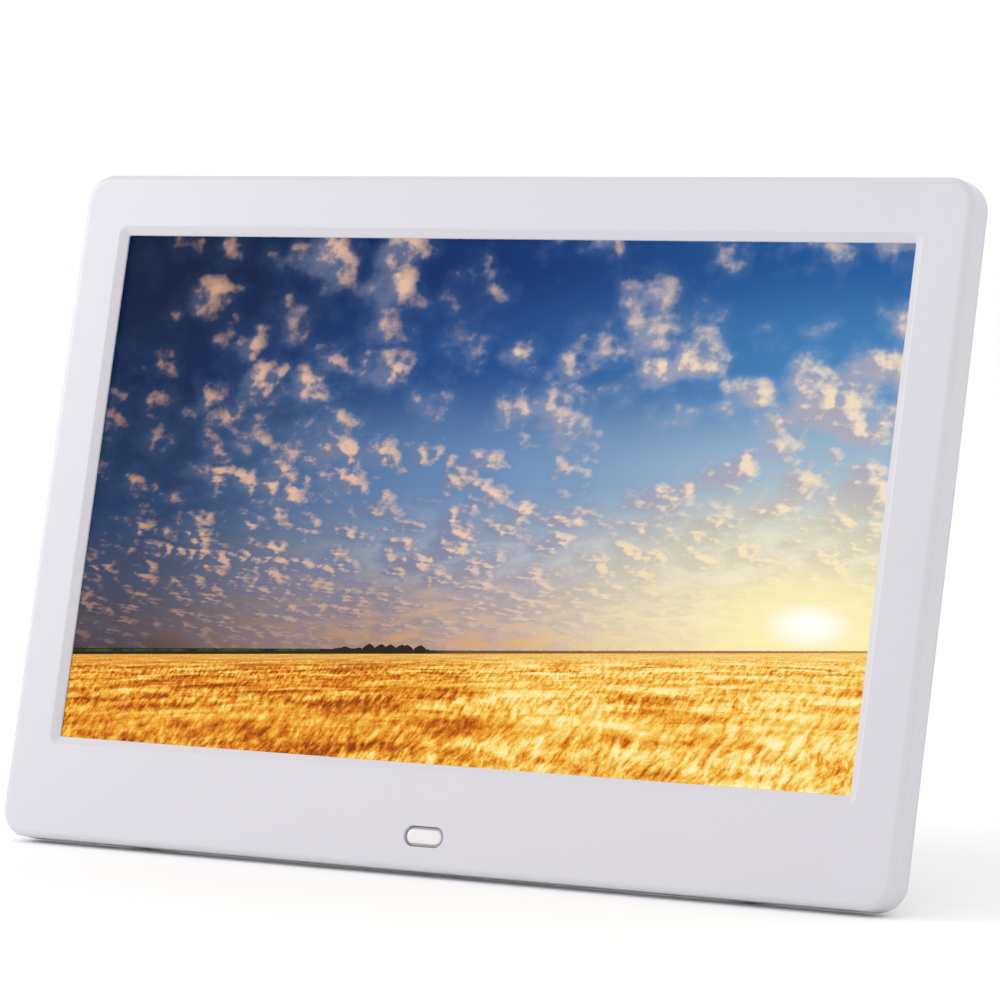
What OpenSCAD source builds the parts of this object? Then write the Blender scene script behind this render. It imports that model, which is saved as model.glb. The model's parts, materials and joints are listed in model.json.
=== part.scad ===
// Digital photo frame: a 10.1-inch wide screen in a two-shell plastic housing that
// leans back on a hinged leg. Millimetres. X runs left to right seen from the front,
// Y runs from the front to the back, Z runs up. The frame stands on the plane Z = 0,
// and the origin is under the middle of its footprint.

/* [Housing] */
// Width of the housing, left to right
body_w = 250; // [248:1:258]
// Height of the housing, measured along its front face
body_h = 165; // [164:1:172]
// Depth of the housing from the front face to the flat of the back
body_depth = 20; // [20:0.5:23]
// Radius of the housing's corners, seen from the front
corner_r = 7; // [6:0.5:8]
// Depth of the front shell's side wall
skirt_depth = 6.6; // [6.4:0.1:6.8]
// Rounding of the front shell's outer edge
edge_r = 1.6; // [1:0.1:1.8]
// Thickness of both shells
wall = 2; // [1.8:0.1:2]
// Angle that the housing leans back from the vertical, in degrees
lean = 13.15; // [12:0.05:14.5]

/* [Screen] */
// Width of the picture area
screen_w = 222.7; // [220:0.1:223]
// Height of the picture area
screen_h = 125.3; // [124:0.1:126]
// Height of the picture area's lower edge above the housing's lower edge
screen_bottom = 24.8; // [24:0.1:26]
// Width of the sloping lip around the picture area
lip_w = 2.2; // [1.5:0.1:2.6]
// Depth of the sloping lip
lip_depth = 1.2; // [0.8:0.1:1.2]
// Thickness of the front wall beside the screen
front_wall = 1.6; // [1.5:0.1:1.8]

/* [Remote receiver] */
// Width of the receiver's opening
ir_w = 11; // [9:0.1:12]
// Height of the receiver's opening
ir_h = 4.8; // [4:0.1:5]
// Height of the receiver's middle above the housing's lower edge
ir_z = 8; // [7.6:0.1:8.4]

/* [Stand] */
// Width of the leg at its hinge
leg_w = 52; // [46:1:52]
// Width of the leg at its foot
leg_foot_w = 42; // [36:1:44]
// Length of the leg from its pin to the middle of its rubber foot
leg_length = 91.4; // [91:0.1:91.4]
// Height of the hinge pin above the housing's lower edge
hinge_z = 96; // [96:0.1:96.4]
// Radius of the hinge pin
pin_r = 1.5; // [1.5:0.05:1.6]

/* [Buttons] */
// Distance from one button to the next
button_pitch = 12; // [11:0.5:12]
// Width of a button's cap
button_w = 8; // [7:0.5:8.5]
// Height of a button's cap
button_h = 4.6; // [4:0.1:5]
// How far a button travels
button_travel = 0.5; // [0.3:0.1:0.5]

/* [Wall hanging] */
// Distance between the two keyholes
keyhole_spacing = 150; // [140:1:152]
// Radius of a keyhole's round opening
keyhole_r = 4.2; // [4:0.1:4.4]
// Half the width of a keyhole's slot
keyhole_slot_r = 2.2; // [1.8:0.1:2.2]

/* [Hidden] */
$fn = 48;
eps = 0.01;

// Housing
seam_gap = 0.3;
flange_end = skirt_depth + seam_gap + 0.9;
side_inset = 0.3;
slope_end = body_depth - 1.2;
slope_inset = 13.6;
flat_inset = 15.6;
lift = 0.35;
sheet_r = 1;

// Screen module
window_w = screen_w - 0.5;
window_h = screen_h - 0.5;
screen_z = screen_bottom + screen_h / 2;
panel_w = 235;
panel_h = 143;
panel_z = 83.5;
gasket_t = 0.2;
panel_front = front_wall + gasket_t;
steel_t = 0.3;
glass_front = panel_front + steel_t;
glass_t = 1.2;
film_t = 0.2;
guide_front = 3.85;
guide_t = 2.2;
guide_w = 230;
guide_h = 133.9;
guide_z = 85.55;
tray_back = 6.8;

// Stand
hinge_y = body_depth - 2.8;
leg_t = 4.6;
leg_skin = 1.6;
barrel_r = 2.6;
foot_r = leg_t / 2;
recess_half = 28;
recess_floor = body_depth - 5.6;
recess_top = hinge_z + 4;
recess_wall = 1.8;
stop_gap = 0.05;
stop_height = 1.8;
hinge_clear = 0.06;

// Boards and what stands on them
board_front = 9;
board_t = 1.2;
board_back = board_front + board_t;
board_left = 108.3;
board_right = 33;
board_low = 43.5;
board_high = 109;
tab_low = 33;
tab_right = 96.5;
inner_back = body_depth - wall;
port_wall_x = 110.5;
port_pocket_floor = 8.6;
port_low = 31;
port_high = 112;
port_mouth_x = 109;
post_r = 2.4;
board_posts = [[-78, 104.5], [-37, 104.5], [-37, 46.5], [-84, 46.5]];
cover_screw_places = [[-104, 8], [104, 8], [-104, 158.4], [104, 158.4]];
screw_boss_back = 7.6;
screw_seat = 9.2;

// Ports: middle height of each
dc_z = 38;
headphone_z = 47.5;
mini_usb_z = 57.5;
usb_z = 71.5;
card_z = 94.5;
dc_bore_r = 1.9;
dc_pin_r = 0.65;
headphone_bore_r = 1.8;
dc_y = board_back + 3.5;
headphone_y = board_back + 3;

// Speakers
speaker_x = 82;
speaker_z = 27;
speaker_r = 12.4;

// Buttons
button_row_z = 143;
button_row_x = 17.5;
button_board_y = 11;
button_board_t = 1.2;
switch_front = button_board_y + button_board_t;
switch_back = 15.4;
switch_half = 3;
dome_seat = switch_front + 0.6;
plunger_r = 1.7;
cap_proud = 0.7;
button_clear = 0.3;
flange_front = inner_back - button_clear - 1.2;

// Wall hanging
keyhole_z = 118;
keyhole_rise = 9;

// The housing's front lower edge, placed so that the footprint is centred on the origin
lowest = min(-flange_end * sin(lean) + side_inset * cos(lean), -skirt_depth * sin(lean));
body_z = lift - lowest;
pin_world_y = hinge_y * cos(lean) + hinge_z * sin(lean);
pin_world_z = body_z - hinge_y * sin(lean) + hinge_z * cos(lean);
leg_slant = acos((pin_world_z - foot_r) / leg_length);
leg_open = leg_slant + lean;
front_most = edge_r * (cos(lean) + sin(lean) - 1);
rear_most = pin_world_y + leg_length * sin(leg_slant) + foot_r;
body_y = -(front_most + rear_most) / 2;
foot_y = 12;
foot_x = 85;
foot_pad_r = 3.5;
foot_pad_t = 0.9;
echo(body_y = body_y, body_z = body_z, leg_slant = leg_slant, leg_open = leg_open,
     pin_y = pin_world_y + body_y, pin_z = pin_world_z, rear = rear_most + body_y);

// ---------- Helpers ----------

// Puts a child that is drawn upright in the leaning housing's place
module in_housing() {
    translate([0, body_y, body_z]) rotate([-lean, 0, 0]) children();
}

// Puts a child that is drawn about the hinge pin, hanging down, in the open leg's place
module in_leg() {
    in_housing() translate([0, hinge_y, hinge_z]) rotate([leg_open, 0, 0]) children();
}

// A block from one corner to the other
module block(low, high) {
    translate(low) cube(high - low);
}

// Extrudes a flat shape, drawn in X and Z, from depth y0 to depth y1
module plate(y0, y1) {
    translate([0, y1, 0]) rotate([90, 0, 0]) linear_extrude(y1 - y0) children();
}

// A cylinder along Y
module rod_y(r, y0, y1, x = 0, z = 0) {
    translate([x, y1, z]) rotate([90, 0, 0]) cylinder(r = r, h = y1 - y0);
}

// A cylinder along X
module rod_x(r, x0, x1, y = 0, z = 0) {
    translate([x0, y, z]) rotate([0, 90, 0]) cylinder(r = r, h = x1 - x0);
}

module round_rect(w, h, r) {
    square([w - 2 * r, h], center = true);
    square([w, h - 2 * r], center = true);
    for (sx = [-1, 1], sz = [-1, 1])
        translate([sx * (w / 2 - r), sz * (h / 2 - r)]) circle(r);
}

// A flat shape with round ends, longer along X
module stadium(w, h) {
    square([w - h, h], center = true);
    for (s = [-1, 1]) translate([s * (w - h) / 2, 0]) circle(h / 2);
}

// The housing's outline, drawn in by an inset
module outline_slab(inset, y0, y1, fn = $fn) {
    r = max(sheet_r, corner_r - inset);
    translate([0, 0, body_h / 2])
        plate(y0, y1) round_rect(body_w - 2 * inset, body_h - 2 * inset, r, $fn = fn);
}

module outline_ring(outer, inner, y0, y1) {
    difference() {
        outline_slab(outer, y0, y1);
        outline_slab(inner, y0 - 1, y1 + 1);
    }
}

// A tube of radius r that follows a list of points, with 8 sides
module lead(points, r) {
    sides = 8;
    n = len(points);
    function along(i) =
        let (d = points[min(i + 1, n - 1)] - points[max(i - 1, 0)]) d / norm(d);
    function across(i) =
        let (s = cross(along(i), [0, 1, 0])) s / norm(s);
    rings = [for (i = [0:n - 1], k = [0:sides - 1])
        let (t = along(i), s = across(i), w = cross(s, t), a = 360 * k / sides)
        points[i] + r * (cos(a) * s + sin(a) * w)];
    walls = [for (i = [0:n - 2], k = [0:sides - 1])
        let (k2 = (k + 1) % sides)
        [i * sides + k, i * sides + k2, (i + 1) * sides + k2, (i + 1) * sides + k]];
    first = [[for (k = [sides - 1:-1:0]) k]];
    last = [[for (k = [0:sides - 1]) (n - 1) * sides + k]];
    polyhedron(rings, concat(walls, first, last));
}

// ---------- Front shell and what it holds ----------

module front_skin() {
    hull() {
        for (a = [0:22.5:67.5])
            outline_slab(edge_r * (1 - sin(a)), edge_r * (1 - cos(a)),
                         edge_r * (1 - cos(a)) + eps, fn = 32);
        outline_slab(0, edge_r, skirt_depth, fn = 32);
    }
}

module window_cut() {
    translate([0, 0, screen_z]) {
        hull() {
            plate(-eps, 0) round_rect(window_w + 2 * lip_w, window_h + 2 * lip_w, 2.4, $fn = 32);
            plate(lip_depth, lip_depth + eps) round_rect(window_w, window_h, 0.4, $fn = 16);
        }
        plate(lip_depth, front_wall + 1) round_rect(window_w, window_h, 0.4, $fn = 16);
    }
}

module front_bezel() {
    color("whitesmoke") in_housing() {
        difference() {
            union() {
                difference() {
                    front_skin();
                    outline_slab(wall, front_wall, skirt_depth + 1);
                }
                // Posts for the cover's screws
                for (p = cover_screw_places) rod_y(2.8, front_wall - 0.1, screw_boss_back, p.x, p.y);
                // Pegs that carry the receiver's board
                for (s = [-1, 1]) rod_y(1.1, front_wall - 0.1, 5.2, s * 5.6, ir_z - 3.6);
                // Ribs that locate the screen module
                for (s = [-1, 1], z = [30:21:140])
                    block([s * (body_w / 2 - wall + 0.2) - (s > 0 ? 5.4 : 0), front_wall - 0.1, z - 0.6],
                          [s * (body_w / 2 - wall + 0.2) + (s > 0 ? 0 : 5.4), 4.8, z + 0.6]);
            }
            window_cut();
            translate([0, 0, ir_z]) plate(-1, front_wall + 1) stadium(ir_w, ir_h);
            for (p = cover_screw_places) rod_y(1.3, front_wall + 1, 9, p.x, p.y);
        }
    }
}

module ir_window() {
    color("ghostwhite") in_housing() translate([0, 0, ir_z]) {
        plate(0.15, front_wall) stadium(ir_w - 0.6, ir_h - 0.6);
        plate(front_wall, front_wall + 0.4) stadium(ir_w + 1.2, ir_h + 1.2);
    }
}

module ir_receiver() {
    color("dimgray") in_housing() {
        block([-2.5, 2.9, ir_z - 2.9], [2.5, 5.2, ir_z + 2.9]);
        rod_y(1.6, 2.1, 2.9, 0, ir_z);
    }
}

module ir_board() {
    color("darkgreen") in_housing() block([-7.5, 5.2, ir_z - 4.2], [7.5, 6.2, ir_z + 3.4]);
}

// ---------- Screen module ----------

module panel_outline(clear) {
    translate([0, panel_z]) square([panel_w - 2 * clear, panel_h - 2 * clear], center = true);
}

module screen_gasket() {
    color("black") in_housing() plate(front_wall, panel_front) difference() {
        panel_outline(0.5);
        translate([0, screen_z]) square([window_w + 3, window_h + 3], center = true);
    }
}

module panel_frame() {
    color("silver") in_housing() {
        plate(panel_front, glass_front) difference() {
            panel_outline(0);
            translate([0, screen_z]) square([screen_w + 2, screen_h + 2], center = true);
        }
        plate(glass_front - eps, 5.6) difference() {
            panel_outline(0);
            panel_outline(steel_t);
        }
    }
}

module display_panel() {
    color("steelblue") in_housing()
        plate(glass_front, glass_front + glass_t) panel_outline(steel_t + 0.15);
}

module diffuser_films() {
    color("white") in_housing()
        for (y = [glass_front + glass_t + 0.05, glass_front + glass_t + 0.3])
            translate([0, 0, screen_z + 1]) plate(y, y + film_t) square([228, 130], center = true);
}

module light_guide() {
    color("azure") in_housing() translate([0, 0, guide_z])
        plate(guide_front + 0.05, guide_front + guide_t) square([guide_w, guide_h], center = true);
}

module led_strip() {
    color("gold") in_housing() {
        block([-112, 4, 16.6], [112, 5.8, 17.4]);
        for (x = [-108:12:108]) block([x - 1.8, 4.2, 17.4], [x + 1.8, 5.6, 18.4]);
    }
}

module panel_tray() {
    color("gray") in_housing() difference() {
        plate(glass_front + glass_t + 0.05, tray_back) panel_outline(steel_t + 0.15);
        plate(glass_front, tray_back - 0.5) panel_outline(1.5);
    }
}

module panel_driver_board() {
    color("green") in_housing() {
        block([-72, tray_back, 14], [72, tray_back + 0.8, 27]);
        for (x = [-40, -8, 24]) block([x - 6, tray_back + 0.8, 17], [x + 6, tray_back + 1.6, 23]);
    }
}

// Flat ribbon from the driver board up to the socket on the main board's front face
module panel_ribbon() {
    t = 0.15;
    path = [[tray_back + 0.8, 24.5], [tray_back + 0.8, 27], [8.3, 34], [8.3, 48]];
    color("wheat") in_housing() {
        translate([-68, 0, 0]) rotate([90, 0, 90]) linear_extrude(18)
            polygon([for (p = path) p, for (i = [3:-1:0]) path[i] + [t, 0]]);
        block([-69.5, 7.9, 48], [-48.5, board_front, 52]);
    }
}

// ---------- Rear shell and what it holds ----------

module cover_skin() {
    hull() {
        outline_slab(side_inset, skirt_depth + seam_gap, flange_end, fn = 32);
        outline_slab(slope_inset, slope_end, slope_end + eps, fn = 32);
        outline_slab(flat_inset, body_depth - eps, body_depth, fn = 32);
    }
}

module cover_hollow() {
    hull() {
        outline_slab(side_inset + 3.1, skirt_depth, flange_end, fn = 32);
        outline_slab(slope_inset + 2.1, inner_back - eps, inner_back, fn = 32);
    }
}

module keyhole_shape(grow = 0) {
    circle(keyhole_r + grow);
    translate([-keyhole_slot_r - grow, 0]) square([2 * (keyhole_slot_r + grow), keyhole_rise]);
    translate([0, keyhole_rise]) circle(keyhole_slot_r + grow);
}

module at_keyholes() {
    for (s = [-1, 1]) translate([s * keyhole_spacing / 2, 0, keyhole_z]) children();
}

// The middle of button i, along X
function button_x(i) = button_row_x + i * button_pitch;

// Everything that stands up inside the rear shell
module cover_inside() {
    // Walls of the leg's recess
    block([-recess_half - wall, recess_floor - recess_wall, -1],
          [recess_half + wall, body_depth, recess_top + wall]);
    // Walls of the port pocket
    block([-body_w, skirt_depth + seam_gap + 0.3, port_low - wall],
          [-port_wall_x + wall, body_depth, port_high + wall]);
    // Cups behind the keyholes
    at_keyholes() translate([0, 0, keyhole_rise / 2])
        plate(12.6, body_depth) square([14.4, 22], center = true);
    // Wells for the cover's screws
    for (p = cover_screw_places) rod_y(4.4, screw_boss_back + 0.1, body_depth, p.x, p.y);
    // Bosses that hold the hinge pin's ends
    for (s = [-1, 1]) rod_x(3.4, s * 31 - 1.5, s * 31 + 1.5, hinge_y, hinge_z);
    // Posts for the boards
    for (p = board_posts) rod_y(post_r, board_back, body_depth, p.x, p.y);
    for (x = [button_x(0) - 7.5, button_x(7) + 7.5])
        rod_y(post_r, switch_front, body_depth, x, button_row_z + 2.5);
    // Rings around the speakers
    for (s = [-1, 1]) rod_y(speaker_r + 1.4, 14, body_depth, s * speaker_x, speaker_z);
}

module speaker_holes() {
    rod_y(0.9, 10, body_depth + 1, 0, 0);
    for (ring = [1:3], k = [0:6 * ring - 1])
        rotate([0, 60 / ring * k, 0]) rod_y(0.9, 10, body_depth + 1, 3.3 * ring, 0);
}

module port_cuts() {
    x0 = -port_wall_x - 1;
    x1 = -port_wall_x + wall + 1;
    rod_x(3.4, x0, x1, dc_y, dc_z);
    rod_x(3.3, x0, x1, headphone_y, headphone_z);
    block([x0, board_back - 0.2, mini_usb_z - 4.2], [x1, board_back + 4.4, mini_usb_z + 4.2]);
    block([x0, board_back - 0.2, usb_z - 7.4], [x1, board_back + 7.2, usb_z + 7.4]);
    block([x0, board_back - 0.2, card_z - 14.2], [x1, board_back + 3.4, card_z + 14.2]);
}

module vent_slots() {
    for (k = [-8:8])
        translate([k * 4, 0, 117]) plate(inner_back - 1, body_depth + 1)
            rotate(90) stadium(13, 1.8);
    for (s = [-1, 1], k = [0:6])
        translate([s * (41 + 4 * k), 0, 20]) plate(inner_back - 1, body_depth + 1)
            rotate(90) stadium(8, 1.8);
}

// Feet that drop from the slope to just above the table, drawn in the standing position
module cover_feet() {
    difference() {
        for (s = [-1, 1])
            translate([s * foot_x, body_y + foot_y, foot_pad_t]) cylinder(r = foot_pad_r + 0.4, h = 9);
        in_housing() cover_hollow();
        in_housing() outline_slab(side_inset + 3.1, 0, flange_end);
    }
}

module rear_cover() {
    color("white") {
        in_housing() difference() {
            union() {
                difference() {
                    cover_skin();
                    cover_hollow();
                }
                intersection() {
                    cover_skin();
                    cover_inside();
                }
                // Neck in the seam, and the tongue that enters the front shell
                outline_ring(1.2, 3.4, skirt_depth, skirt_depth + seam_gap + eps);
                outline_ring(wall + 0.2, 3.4, 5, skirt_depth + eps);
            }
            // Recess for the leg, open at its lower end
            block([-recess_half, recess_floor, -2], [recess_half, body_depth + 1, recess_top]);
            // Holes for the hinge pin
            rod_x(pin_r + 0.02, -recess_half - 3.3, recess_half + 3.3, hinge_y, hinge_z);
            // Port pocket
            block([-body_w, port_pocket_floor, port_low], [-port_wall_x, body_depth + 1, port_high]);
            port_cuts();
            // Keyholes and the room behind them
            at_keyholes() {
                plate(inner_back - 1, body_depth + 1) keyhole_shape();
                translate([0, 0, keyhole_rise / 2])
                    plate(13.8, inner_back) square([12, 19.6], center = true);
            }
            // Screw wells
            for (p = cover_screw_places) {
                rod_y(3, screw_seat, body_depth + 1, p.x, p.y);
                rod_y(1.5, 7, screw_seat + 1, p.x, p.y);
            }
            // Pilot holes in the posts
            for (p = board_posts) rod_y(0.9, board_back - 1, board_back + 5, p.x, p.y);
            for (x = [button_x(0) - 7.5, button_x(7) + 7.5])
                rod_y(0.9, switch_front - 1, switch_front + 4, x, button_row_z + 2.5);
            // Button openings
            for (i = [0:7]) translate([button_x(i), 0, button_row_z])
                plate(inner_back - 1, body_depth + 1)
                    stadium(button_w + 2 * button_clear, button_h + 2 * button_clear);
            // Speaker seats and grilles
            for (s = [-1, 1]) translate([s * speaker_x, 0, speaker_z]) {
                rod_y(speaker_r + 0.2, 13, inner_back, 0, 0);
                speaker_holes();
            }
            vent_slots();
        }
        cover_feet();
    }
}

module cover_screws() {
    color("darkgray") in_housing() for (p = cover_screw_places) difference() {
        union() {
            rod_y(1.25, 3, screw_seat + eps, p.x, p.y);
            rod_y(2.6, screw_seat, screw_seat + 1.6, p.x, p.y);
        }
        block([p.x - 1.6, screw_seat + 0.6, p.y - 0.3], [p.x + 1.6, screw_seat + 2, p.y + 0.3]);
        block([p.x - 0.3, screw_seat + 0.6, p.y - 1.6], [p.x + 0.3, screw_seat + 2, p.y + 1.6]);
    }
}

module rubber_feet() {
    color("dimgray") for (s = [-1, 1])
        translate([s * foot_x, body_y + foot_y, 0]) cylinder(r = foot_pad_r, h = foot_pad_t);
}

// ---------- Main board ----------

module main_board() {
    color("darkgreen") in_housing() plate(board_front, board_back) difference() {
        union() {
            translate([-board_left, board_low]) square([board_left - board_right, board_high - board_low]);
            translate([-board_left, tab_low]) square([board_left - tab_right, board_low - tab_low + 1]);
        }
        for (p = board_posts) translate(p) circle(1.1);
    }
}

// A small screw whose head lies on a board's front face, at depth y_head
module small_screw(x, z, y_head, length) {
    difference() {
        union() {
            rod_y(0.85, y_head - eps, y_head + length, x, z);
            rod_y(1.9, y_head - 1.2, y_head, x, z);
        }
        block([x - 1.1, y_head - 2, z - 0.25], [x + 1.1, y_head - 0.7, z + 0.25]);
    }
}

module board_screws() {
    color("silver") in_housing() for (p = board_posts) small_screw(p.x, p.y, board_front, 5);
}

module processor() {
    color("dimgray") in_housing() block([-68, board_back, 62], [-52, board_back + 1.4, 78]);
}

module memory_chips() {
    color("dimgray") in_housing() {
        for (z = [62, 74]) block([-48, board_back, z], [-38, board_back + 1.1, z + 9]);
        block([-72, board_back, 84], [-60, board_back + 1, 100]);
    }
}

module inductors() {
    color("slategray") in_housing() for (p = [[-88, 56], [-88, 70]])
        difference() {
            block([p.x - 3, board_back, p.y - 3], [p.x + 3, board_back + 3, p.y + 3]);
            rod_y(2, board_back + 2.4, board_back + 4, p.x, p.y);
        }
}

module capacitors() {
    color("silver") in_housing() for (p = [[-90, 63.2], [-78, 56], [-78, 64], [-62, 55]])
        rod_y(2.4, board_back, board_back + 5, p.x + 1, p.y);
}

module wire_sockets() {
    color("ivory") in_housing() for (x = [-46, -55, -64]) difference() {
        block([x - 3.2, board_back, 44.5], [x + 3.2, board_back + 4, 49.5]);
        block([x - 2.4, board_back + 0.8, 44], [x + 2.4, board_back + 3.4, 48.6]);
    }
}

cell_place = [-46, 94];
module clock_cell_holder() {
    color("black") in_housing() difference() {
        rod_y(7.6, board_back, board_back + 3, cell_place.x, cell_place.y);
        rod_y(6.4, board_back + 0.8, board_back + 4, cell_place.x, cell_place.y);
    }
}

module clock_cell() {
    color("silver") in_housing()
        rod_y(6.25, board_back + 0.8, board_back + 2.8, cell_place.x, cell_place.y);
}

// ---------- Sockets, each with its mouth in the port wall ----------

module card_socket() {
    color("silver") in_housing() difference() {
        block([-port_mouth_x, board_back, card_z - 14], [-84, board_back + 3.2, card_z + 14]);
        block([-port_mouth_x - 1, board_back + 0.4, card_z - 12.2], [-86, board_back + 2.8, card_z + 12.2]);
    }
}

module usb_socket() {
    color("silver") in_housing() {
        difference() {
            block([-port_mouth_x, board_back, usb_z - 7.2], [-95, board_back + 7, usb_z + 7.2]);
            block([-port_mouth_x - 1, board_back + 1.0, usb_z - 6.2], [-96, board_back + 6, usb_z + 6.2]);
        }
        block([-port_mouth_x + 1, board_back + 3.8, usb_z - 5.6], [-95.5, board_back + 5.7, usb_z + 5.6]);
    }
}

module mini_usb_socket() {
    color("silver") in_housing() translate([0, board_back, mini_usb_z]) {
        difference() {
            block([-port_mouth_x, 0, -3.85], [-100, 4, 3.85]);
            block([-port_mouth_x - 1, 0.4, -3.45], [-101, 3.6, 3.45]);
        }
        block([-port_mouth_x + 1, 1.6, -2.4], [-100.5, 2.4, 2.4]);
    }
}

module headphone_socket() {
    color("black") in_housing() difference() {
        union() {
            block([-106, board_back, headphone_z - 3], [-95, board_back + 5.2, headphone_z + 3]);
            rod_x(2.9, -port_mouth_x, -105, headphone_y, headphone_z);
        }
        rod_x(headphone_bore_r, -port_mouth_x - 1, -96.5, headphone_y, headphone_z);
    }
}

module power_inlet() {
    color("black") in_housing() {
        difference() {
            union() {
                block([-106, board_back, dc_z - 3.5], [-97, board_back + 6.8, dc_z + 3.5]);
                rod_x(3.1, -port_mouth_x, -105, dc_y, dc_z);
            }
            rod_x(dc_bore_r, -port_mouth_x - 1, -99, dc_y, dc_z);
        }
        rod_x(dc_pin_r, -port_mouth_x + 1, -98.5, dc_y, dc_z);
    }
}

// ---------- Buttons ----------

module button_board() {
    color("darkgreen") in_housing()
        plate(button_board_y, switch_front) difference() {
            translate([button_x(0) - 11, button_row_z - 5]) square([button_x(7) - button_x(0) + 22, 11]);
            for (x = [button_x(0) - 7.5, button_x(7) + 7.5]) translate([x, button_row_z + 2.5]) circle(1.1);
        }
}

module button_board_screws() {
    color("silver") in_housing() for (x = [button_x(0) - 7.5, button_x(7) + 7.5])
        small_screw(x, button_row_z + 2.5, button_board_y, 4);
}

module switch_housings() {
    color("dimgray") in_housing() for (i = [0:7]) translate([button_x(i), 0, button_row_z])
        difference() {
            block([-switch_half, switch_front, -switch_half], [switch_half, switch_back, switch_half]);
            rod_y(plunger_r + 0.15, dome_seat, switch_back + 1);
        }
}

// One button: its cap, the flange that keeps it in, and the stem that works the switch
module button(i) {
    color("gainsboro") in_housing() translate([button_x(i), 0, button_row_z]) {
        plate(flange_front + 0.5, body_depth + cap_proud) stadium(button_w, button_h);
        plate(flange_front, inner_back - button_clear) stadium(button_w + 1.6, button_h + 1.6);
        rod_y(plunger_r, dome_seat + button_travel + 0.1, flange_front + 0.1);
    }
}

module power_button() { button(0); }
module menu_button() { button(1); }
module exit_button() { button(2); }
module left_button() { button(3); }
module up_button() { button(4); }
module down_button() { button(5); }
module right_button() { button(6); }
module enter_button() { button(7); }

// ---------- Speakers ----------

module speaker_frame(s) {
    color("dimgray") in_housing() translate([s * speaker_x, 0, speaker_z]) difference() {
        rod_y(speaker_r, 13, inner_back - 0.1);
        rod_y(speaker_r - 1, 13.8, inner_back + 1);
        for (k = [0:5]) rotate([0, 60 * k, 0]) rod_y(1.6, 12, 15, 9.2, 0);
        rod_y(3.6, 12, 15);
    }
}

module speaker_cone(s) {
    color("black") in_housing() translate([s * speaker_x, 15.6, speaker_z]) rotate([-90, 0, 0])
        rotate_extrude() polygon([
            [0, 1.2], [2, 0.8], [3.4, -0.2], [3.4, -1.6], [3.8, -1.6], [3.8, -0.2], [9, 1.4],
            [10, 1.9], [11.3, 1.6], [11.3, 2.0], [10, 2.3], [9, 1.8], [3.6, 0.3], [2, 1.3], [0, 1.6]]);
}

module speaker_magnet(s) {
    color("silver") in_housing() translate([s * speaker_x, 0, speaker_z]) {
        rod_y(7.2, 9.6, 13);
        rod_y(3, 12.9, 14.4);
    }
}

// ---------- Leads ----------

module speaker_lead(s) {
    color("red") in_housing() lead(s < 0
        ? [[-74, 12.25, 32], [-72, 12, 35], [-68, 12.4, 38], [-65, 12.6, 41], [-64, 12.6, 44],
           [-64, 12.6, 48]]
        : [[72, 12.25, 34], [66, 10.6, 37], [55, 9.8, 39], [30, 9.6, 40], [0, 9.6, 39.5], [-25, 9.8, 39],
           [-45, 10.2, 38.5], [-52, 11.6, 40.5], [-55, 12.4, 43], [-55, 12.4, 48]], 0.7);
}

module button_lead() {
    color("ivory") in_housing() lead([
        [24, 10.25, 140], [20, 9.9, 134], [10, 9.8, 124], [-8, 9.7, 112], [-20, 9.6, 106],
        [-28, 9.6, 101], [-32.9, 9.6, 99]], 0.7);
}

module receiver_lead() {
    color("ivory") in_housing() lead([
        [-5.5, 7, 9], [-14, 7.4, 8.6], [-26, 8.4, 10], [-38, 10, 18], [-43, 11, 28], [-46, 12, 38],
        [-46, 12.4, 43], [-46, 12.4, 48]], 0.7);
}

// ---------- Stand ----------

module hinge_pin() {
    color("silver") in_housing() rod_x(pin_r, -recess_half - 3.2, recess_half + 3.2, hinge_y, hinge_z);
}

module hinge_washers() {
    color("gold") in_housing() for (s = [-1, 1]) translate([s * (recess_half - 0.4), hinge_y, hinge_z])
        difference() {
            rod_x(2.4, -0.3, 0.3);
            rod_x(pin_r + hinge_clear, -1, 1);
        }
}

module leg_outline(inset) {
    polygon([
        [-leg_w / 2 + inset, -inset], [leg_w / 2 - inset, -inset],
        [leg_w / 2 - inset, -20], [leg_foot_w / 2 - inset, -leg_length + inset],
        [-leg_foot_w / 2 + inset, -leg_length + inset], [-leg_w / 2 + inset, -20]]);
}

module stand_leg() {
    color("white") in_leg() difference() {
        union() {
            plate(-leg_t / 2, leg_t / 2) leg_outline(0);
            rod_x(barrel_r, -leg_w / 2 - 1.2, leg_w / 2 + 1.2);
            // Nib that meets the recess floor when the leg is fully open
            rotate([-leg_open, 0, 0])
                block([-7, recess_floor - hinge_y + stop_gap, 0], [7, 0, stop_height]);
        }
        // Hollow front with ribs
        difference() {
            plate(-leg_t / 2 - 1, leg_t / 2 - leg_skin) leg_outline(2);
            for (x = [-12, 0, 12])
                block([x - 0.6, -leg_t, -leg_length], [x + 0.6, leg_t, 0]);
            for (z = [-20, -38, -56, -74])
                block([-leg_w, -leg_t, z - 0.6], [leg_w, leg_t, z + 0.6]);
            rod_x(barrel_r + 1, -leg_w, leg_w);
            block([-leg_w, -leg_t, -leg_length], [leg_w, leg_t, -leg_length + 5]);
        }
        rod_x(pin_r + hinge_clear, -leg_w, leg_w);
        // Groove for the foot's tongue
        block([-16.1, -0.8, -leg_length - 1], [16.1, 0.8, -leg_length + 3]);
    }
}

module leg_foot() {
    color("dimgray") in_leg() {
        difference() {
            rod_x(foot_r, -leg_foot_w / 2 + 1, leg_foot_w / 2 - 1, 0, -leg_length);
            block([-leg_w, -leg_t, -leg_length], [leg_w, leg_t, -leg_length + leg_t]);
        }
        block([-16, -0.7, -leg_length - 0.5], [16, 0.7, -leg_length + 2.8]);
    }
}

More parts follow.
